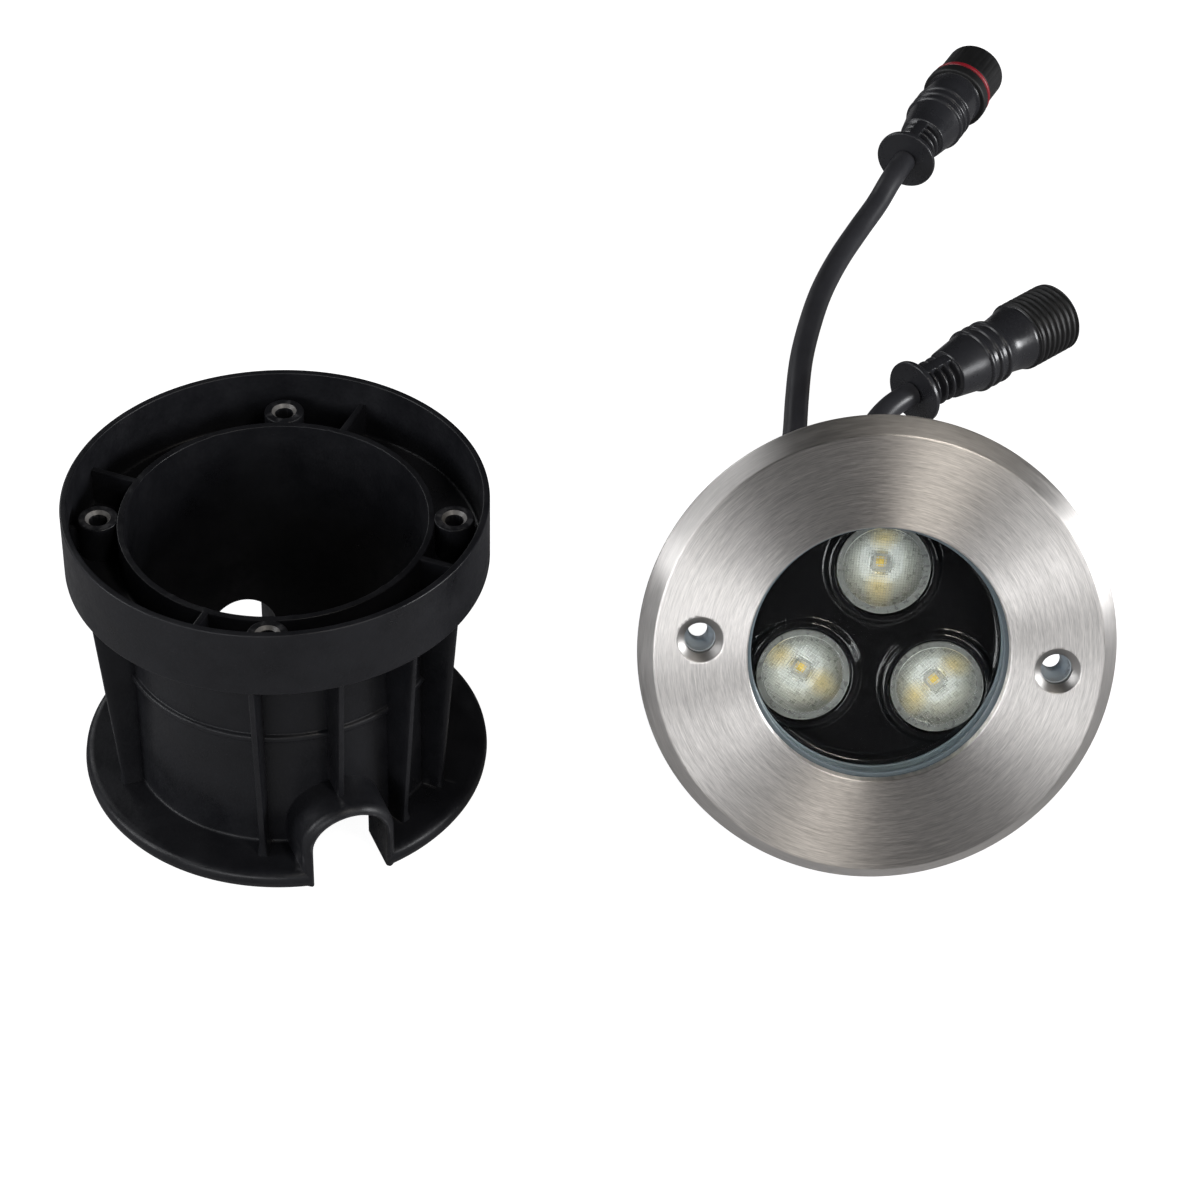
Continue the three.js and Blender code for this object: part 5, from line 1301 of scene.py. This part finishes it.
@dataclass
class Connector:
    """What plug and socket share: disc, slotted strain relief, cone and ringed grip, along +z."""

    place: Placement
    disc_r: float = 8.9
    disc_t: float = 1.6
    relief_r: float = 6.3
    relief_end: float = 13.0
    slots: int = 4
    hoop_share: float = 0.56
    slot_floor_r: float = 4.45
    spine_half: float = 1.7
    grip_r: float = 8.3
    cone_end: float = 22.0
    rings: int = 3
    ring_pitch: float = 3.3
    ring_h: float = 0.7
    length: float = 56.0
    cord_r: float = 3.25

    def handle(self) -> list[tuple[float, ...]]:
        """The outline from the cable end to the last grip ring."""
        start = self.relief_end
        outline: list[tuple[float, ...]] = [
            (0, 0), (self.cord_r + 0.6, 0, 0.3), (self.disc_r, 0.0, 0.5), (self.disc_r, self.disc_t, 0.6),
            (self.relief_r + 0.2, self.disc_t, 0.3), (self.relief_r, self.disc_t + 0.6),
            (self.relief_r, start - 0.2, 0.2),
            (self.relief_r + 0.5, start, 0.2), (self.grip_r - 0.15, self.cone_end - 0.6, 1.5)]
        for i in range(self.rings):
            z = self.cone_end + i * self.ring_pitch
            outline += [(self.grip_r, z, 0.15), (self.grip_r + self.ring_h, z + 0.45, 0.4),
                        (self.grip_r + self.ring_h * 0.8, z + 1.7, 0.5),
                        (self.grip_r, z + 2.0, 0.15), (self.grip_r, z + self.ring_pitch - 0.2)]
        return outline

    def slotted(self, r: Array, t: Array, z: Array) -> Array:
        """The radius of the strain relief: rounded hoops round a core, joined by two flat spines.

        With w the distance from a hoop's middle over its half width, a hoop's height is sqrt(1 - w^2). A smooth step
        of the distance from the spines, |r sin t|, fills the slots where the spines are.
        """
        pitch = (self.relief_end - self.disc_t) / self.slots
        place = (z - self.disc_t) / pitch
        off = 1 - np.abs(place - np.floor(place) - 0.5) * 2
        hoop = np.sqrt(np.clip(1 - (off / self.hoop_share) ** 2, 0, 1))
        free = ease(np.abs(self.relief_r * np.sin(t)), self.spine_half - 0.15, self.spine_half + 0.2)
        zone = (z > self.disc_t + 0.3) & (z < self.relief_end - 0.1) & (r > self.slot_floor_r)
        return np.where(zone, r - (r - self.slot_floor_r) * (1 - hoop) * free, r)

    def contacts(self, name: str, node: str, carrier: str, face: float, bore_r: float, depth: float,
                 outline: Sequence[Point]) -> list[bpy.types.Object]:
        """The carrier at the bottom of a bore and the two contacts in it.

        Args:
            name: The contacts' name, without their number.
            node: The CAD contacts' name, without their number.
            carrier: The CAD carrier's name.
            face: How far the carrier's face lies from the cable end.
            bore_r: The bore.
            depth: The carrier's length.
            outline: A contact's outline, from the carrier's face.

        Returns:
            The carrier and the contacts.
        """
        base = turned_object(carrier + "_insert", self.place, [
            (0, face - depth + 0.3), (bore_r - 0.3, face - depth + 0.3), (bore_r - 0.3, face, 0.3),
            (0, face)], MEDIUM)
        pieces = []
        holes = []
        for number, side in ((1, -1), (2, 1)):
            spot = self.place.moved(y=side * 2.6)
            hole_r = max(c[0] for c in outline) + 0.2
            holes.append(turned_object("hole", spot, [(0, face - depth + 1), (hole_r, face - depth + 1),
                                                      (hole_r, face - 0.2), (hole_r + 0.3, face + 0.1), (0, face + 0.1)],
                                       COARSE))
            contact = turned_object(f"{name}_{number}", spot, [(r, face + z, *f) for r, z, *f in outline], COARSE)
            pieces.append(finish_piece(contact, [BRASS], Body.LAMP, [f"{node}_{number}"]))
        combine(base, holes, Union.CUT)
        return [finish_piece(base, [CARRIER], Body.LAMP, [carrier]), *pieces]


@dataclass
class Plug(Connector):
    """The plug: a collar, a red seal in a groove and a rough nose."""

    collar_r: float = 9.9
    collar_start: float = 38.4
    collar_l: float = 4.0
    neck_r: float = 7.6
    nose_r: float = 9.0
    nose_start: float = 44.8
    bore_r: float = 7.3
    bore_end: float = 45.0
    seal_r: float = 0.9

    def build(self) -> list[bpy.types.Object]:
        """The plug's pieces."""
        end = self.collar_start + self.collar_l
        outline = self.handle() + [
            (self.grip_r, self.collar_start - 0.8, 0.3), (self.grip_r + 0.25, self.collar_start, 0.2),
            (self.collar_r, self.collar_start, 0.6), (self.collar_r, end - 0.9, 0.4),
            (self.collar_r - 0.5, end, 0.3),
            (self.neck_r, end, 0.2), (self.neck_r, self.nose_start, 0.2), (self.nose_r, self.nose_start, 0.4),
            (self.nose_r, self.length, 0.6), (self.bore_r, self.length, 0.4), (self.bore_r, self.bore_end),
            (0, self.bore_end)]

        def radius(r: Array, t: Array, z: Array) -> Array:
            """Slots in the strain relief, and shallow grooves along the nose."""
            slotted = self.slotted(r, t, z)
            nose = (z > self.nose_start + 1) & (z < self.length - 1) & (r > self.bore_r + 0.8)
            return np.where(nose, slotted - 0.07 * (np.cos(28 * t) > 0.4), slotted)

        body = turned_object("plug_moulding", self.place, outline, 2 * MEDIUM, radius=radius, step=0.22)
        along = (face_centres(body) - np.asarray(self.place.origin)) @ np.array(self.place.z) / MM
        finish_piece(body, [CONNECTOR, CONNECTOR_ROUGH], Body.LAMP, ["plug_body"],
                     weighted=False)
        body.data.polygons.foreach_set("material_index", (along > self.collar_start - 0.1).astype(np.int32))
        centre_z, centre_r = self.nose_start - 0.3 - self.seal_r, self.neck_r + 0.25 + self.seal_r
        t = np.linspace(0, 2 * np.pi, 16, endpoint=False)
        ring = np.stack([centre_r + self.seal_r * np.cos(t), centre_z + self.seal_r * np.sin(t)], axis=-1)
        seal = grid_object("red_ring", self.place.put(revolve(ring, MEDIUM)), wrap_v=True)
        finish_piece(seal, [RED_SEAL], Body.LAMP, ["plug_seal"], weighted=False)
        pin = [(0, -2.0), (0.8, -2.0), (0.8, 4.6, 0.3), (0, 5.0)]
        contacts = self.contacts("contact_pin", "plug_pin", "plug_carrier", 48.0, self.bore_r, 3.0, pin)
        return [body, seal, *contacts]


@dataclass
class Socket(Connector):
    """The socket: a waist that flares out to an outside thread."""

    waist_r: float = 7.9
    thread_r: float = 9.75
    thread_h: float = 0.7
    thread_start: float = 41.0
    pitch: float = 2.0
    bore_r: float = 7.7
    bore_end: float = 40.0

    def build(self) -> list[bpy.types.Object]:
        """The socket's pieces.

        The thread's radius falls from its crest with the distance from the helix z / pitch + t / 2 pi, and runs out
        at both ends.
        """
        base = self.thread_r - self.thread_h
        outline = self.handle()[:-1] + [
            (self.waist_r, 33.2, 1.5), (self.grip_r + 0.3, 37.4, 2.0), (self.grip_r + 0.75, 39.2, 0.4),
            (self.grip_r + 0.75, 40.0, 0.1), (base, 40.1, 0.1), (self.thread_r, 40.4), (self.thread_r, 55.2),
            (base, 56.0, 0.3), (self.bore_r, 56.0, 0.3), (self.bore_r, self.bore_end), (0, self.bore_end)]

        def radius(r: Array, t: Array, z: Array) -> Array:
            """Slots in the strain relief, and the thread."""
            turn = z / self.pitch + t / (2 * np.pi)
            off = np.abs(turn - np.floor(turn) - 0.5) * 2
            depth = self.thread_h * ease(off, 0.25, 0.95) * ease(z, 40.2, 41.2) * (1 - ease(z, 54.6, 55.4))
            return np.where((z > 40.2) & (r > self.bore_r + 1.0), r - depth, self.slotted(r, t, z))

        body = turned_object("socket_moulding", self.place, outline, 2 * MEDIUM, radius=radius, step=0.2)
        along = (face_centres(body) - np.asarray(self.place.origin)) @ np.array(self.place.z) / MM
        finish_piece(body, [CONNECTOR, CONNECTOR_ROUGH], Body.LAMP, ["socket_body"],
                     weighted=False)
        body.data.polygons.foreach_set("material_index", (along > 40.2).astype(np.int32))
        tube = [(0.9, -6.7), (1.3, -6.7), (1.3, -0.5, 0.1), (0.9, -0.5, 0.1)]
        contacts = self.contacts("contact_tube", "socket_contact", "socket_carrier", 48.0, self.bore_r, 8.0, tube)
        return [body, *contacts]


# ---------------------------------------------------------------------------------------------
# Studio
# ---------------------------------------------------------------------------------------------


@dataclass
class Softbox:
    """A large soft light that looks at the lamp.

    Its azimuth runs from the front (-y) towards +x, and its elevation from the bench upwards, in degrees.
    """

    name: str
    azimuth: float
    elevation: float
    power: float
    width: float = 0.55
    height: float = 0.55
    colour: tuple[float, float, float] = (0.97, 0.98, 1.0)
    distance: float = 1.6
    target: tuple[float, float, float] = (0.066, -0.026, 0.052)

    def build(self) -> None:
        """Adds the light on a sphere about its target, turned towards it."""
        light = bpy.data.lights.new(self.name, "AREA")
        light.shape, light.size, light.size_y = "RECTANGLE", self.width, self.height
        light.energy, light.color = self.power, self.colour
        a, e = math.radians(self.azimuth), math.radians(self.elevation)
        out = Vector((math.sin(a) * math.cos(e), -math.cos(a) * math.cos(e), math.sin(e)))
        made = bpy.data.objects.new(self.name, light)
        made.location = Vector(self.target) + self.distance * out
        made.rotation_euler = (-out).to_track_quat("-Z", "Y").to_euler()
        bpy.context.scene.collection.objects.link(made)


@dataclass
class Studio:
    """Camera, floor, world and lights."""

    eye: tuple[float, float, float] = (-0.02275, -0.63728, 0.58121)
    look_at: tuple[float, float, float] = (-0.02275, 0.07201, 0.0)
    lens: float = 106.37
    sensor: float = 36.0
    shift: tuple[float, float] = (0.0921, -0.0316)
    floor_size: float = 12.0
    floor_glow: float = 0.95
    ambient: float = 0.012

    def camera(self) -> None:
        """The camera, looking down on the light from in front, and a little off to its left."""
        data = bpy.data.cameras.new("camera")
        data.lens, data.sensor_width = self.lens, self.sensor
        data.shift_x, data.shift_y = self.shift
        data.clip_start, data.clip_end = 0.01, 50.0
        made = bpy.data.objects.new("camera", data)
        made.location = self.eye
        made.rotation_euler = (Vector(self.look_at) - Vector(self.eye)).to_track_quat("-Z", "Y").to_euler()
        bpy.context.scene.collection.objects.link(made)
        bpy.context.scene.camera = made

    def floor(self) -> None:
        """A plain pale floor. What the camera sees of it is lifted, so that shadows on it stay soft."""
        half = self.floor_size / 2
        span = np.array([-half, half])
        x, y = np.meshgrid(span, span, indexing="ij")
        floor = grid_object("floor", np.stack([x, y, 0 * x - 0.0002], axis=-1), wrap_u=False)
        material = bpy.data.materials.new("pale_floor")
        material.use_nodes = True
        shader = material.node_tree.nodes["Principled BSDF"]
        shader.inputs["Base Color"].default_value = (0.42, 0.42, 0.43, 1.0)
        shader.inputs["Roughness"].default_value = 0.9
        shader.inputs["Specular IOR Level"].default_value = 0.1
        shader.inputs["Emission Color"].default_value = (1.0, 1.0, 1.0, 1.0)
        nodes = Nodes(material.node_tree)
        seen = nodes.add("LightPath").outputs["Is Camera Ray"]
        nodes.feed(shader.inputs["Emission Strength"], nodes.math("MULTIPLY", seen, self.floor_glow))
        floor.data.materials.append(material)

    def world(self) -> None:
        """White to the camera, and a faint even light for everything else."""
        world = bpy.data.worlds.new("surrounding")
        world.use_nodes = True
        nodes = Nodes(world.node_tree)
        background = world.node_tree.nodes["Background"]
        background.inputs["Color"].default_value = (1.0, 1.0, 1.0, 1.0)
        seen = nodes.add("LightPath").outputs["Is Camera Ray"]
        nodes.feed(background.inputs["Strength"], nodes.between(seen, 0.0, 1.0, self.ambient, 1.0))
        bpy.context.scene.world = world

    def lights(self) -> None:
        """Low softboxes on both sides, a warm one high on the right and weak ones in front and behind."""
        warm = (1.0, 0.94, 0.86)
        for softbox in (
            Softbox("right_softbox", 80, 14, 20.0),
            Softbox("left_softbox", -82, 14, 6.6),
            Softbox("left_high_softbox", -80, 35, 3.5),
            Softbox("left_front_softbox", -38, 14, 4.6),
            Softbox("front_softbox", -18, 14, 4.2),
            Softbox("right_front_softbox", 34, 22, 3.2),
            Softbox("warm_strip", 31, 52, 6.5, 0.1, 0.7, warm),
            Softbox("back_softbox", -140, 25, 3.2),
        ):
            softbox.build()

    def build(self) -> None:
        """Everything but the object. The camera comes first."""
        self.floor()
        self.world()
        self.lights()
        bpy.context.scene.view_settings.view_transform = "Standard"


# ---------------------------------------------------------------------------------------------
# Main
# ---------------------------------------------------------------------------------------------

PLUG_ROUTE = (
    (53.15, 35.0, 25.46), (53.15, 44.1, 21.2), (53.2, 53.1, 17.0), (53.4, 62, 12.95),
    (53.9, 71, 9.3), (54.6, 80, 6.4), (55.5, 90, 4.3), (56.6, 101, 3.45),
    (57.9, 112, 3.4), (59.4, 123, 3.4), (61.0, 138, 3.4), (63.4, 156, 3.4),
    (67.0, 173, 3.4), (71.4, 189, 3.4), (77.4, 205, 3.4), (84.6, 220, 4.0),
    (90.4, 229.6, 6.2), (94.4, 236.7, 8.7), (97.5, 242.5, 9.8), (99.69, 246.7, 9.9),
)
SOCKET_ROUTE = (
    (79.05, 34, 23.32), (79.05, 43.1, 19.1), (78.76, 52, 14.95), (78.05, 61, 10.8),
    (77.13, 70, 7), (76.17, 79.5, 4.5), (75.51, 88.5, 3.55), (75.28, 96.38, 3.78),
    (75.28, 100.88, 4.3), (75.57, 105.37, 5.05), (76.38, 109.8, 6.04), (77.71, 114.09, 7.21),
    (79.54, 118.2, 8.2), (81.84, 122.06, 8.95), (84.58, 125.63, 9.47), (87.73, 128.85, 9.75),
    (91.16, 131.76, 9.8),
)
PLUG_AT = laid((99.9, 247.1), 9.9, 62.5)
SOCKET_AT = laid((91.5, 132.05), 9.8, 40.0)
NUT_END = 71.5  # depth of the nuts' ends behind the ring's face
KEPT_NODES = {
    "led_board": BOARD_WHITE, "thermal_pad": PAD_BLUE, "driver_board": BOARD_GREEN, "rear_cover_seal": SEAL_RUBBER,
    "gland_seal_1": SEAL_RUBBER, "gland_seal_2": SEAL_RUBBER, "lead_core_1": CORD_JACKET, "lead_core_2": CORD_JACKET,
    "lens_holder_1": HOLDER, "lens_holder_2": HOLDER, "lens_holder_3": HOLDER,
}


def lamp_placement() -> tuple[Placement, list[tuple[float, float, float]]]:
    """The lamp's axes from the two nut joints, whose line through both nuts is its x and whose axis is its -z.

    Returns:
        The placement, with its origin in the middle of the ring's face, and the two nut ends.
    """
    joints = {j["name"]: j for j in frame["joints"]}
    ends = [np.array(joints[f"nut_{n}_turn"]["pos_m"]) for n in (1, 2)]
    z = -unit(np.array(joints["nut_1_turn"]["axis"], float))
    x = unit(ends[1] - ends[0])
    origin = (ends[0] + ends[1]) / 2 + NUT_END * MM * z
    return Placement(tuple(origin), tuple(x), tuple(np.cross(z, x)), tuple(z)), [tuple(e) for e in ends]


def main() -> None:
    """Builds the scene, the cords first, and reports each piece."""
    logging.basicConfig(level=logging.INFO, format="%(message)s")
    studio = Studio()
    studio.camera()
    lamp, exits = lamp_placement()
    tails = (
        (Tail("plug_cable", "plug_tail", PLUG_ROUTE, exits[0]), Plug(PLUG_AT)),
        (Tail("socket_cable", "socket_tail", SOCKET_ROUTE, exits[1]), Socket(SOCKET_AT)),
    )
    for tail, connector in tails:
        piece, line = tail.build()
        tail.declare(piece, line, connector.build())
    low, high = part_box("mounting_sleeve")
    MountingSleeve(Placement(((low.x + high.x) / 2, (low.y + high.y) / 2, low.z))).build()
    front = LampFront(lamp)
    front.build()
    for number, spot in enumerate(front.lens_spots(), 1):
        Optic(number, spot).build()
    LampRear(lamp).build()
    for name, finish in KEPT_NODES.items():
        node = frame["nodes"][name]
        node.data.materials.clear()
        node.data.materials.append(finish.material())
    studio.build()


if __name__ == "__main__":
    main()
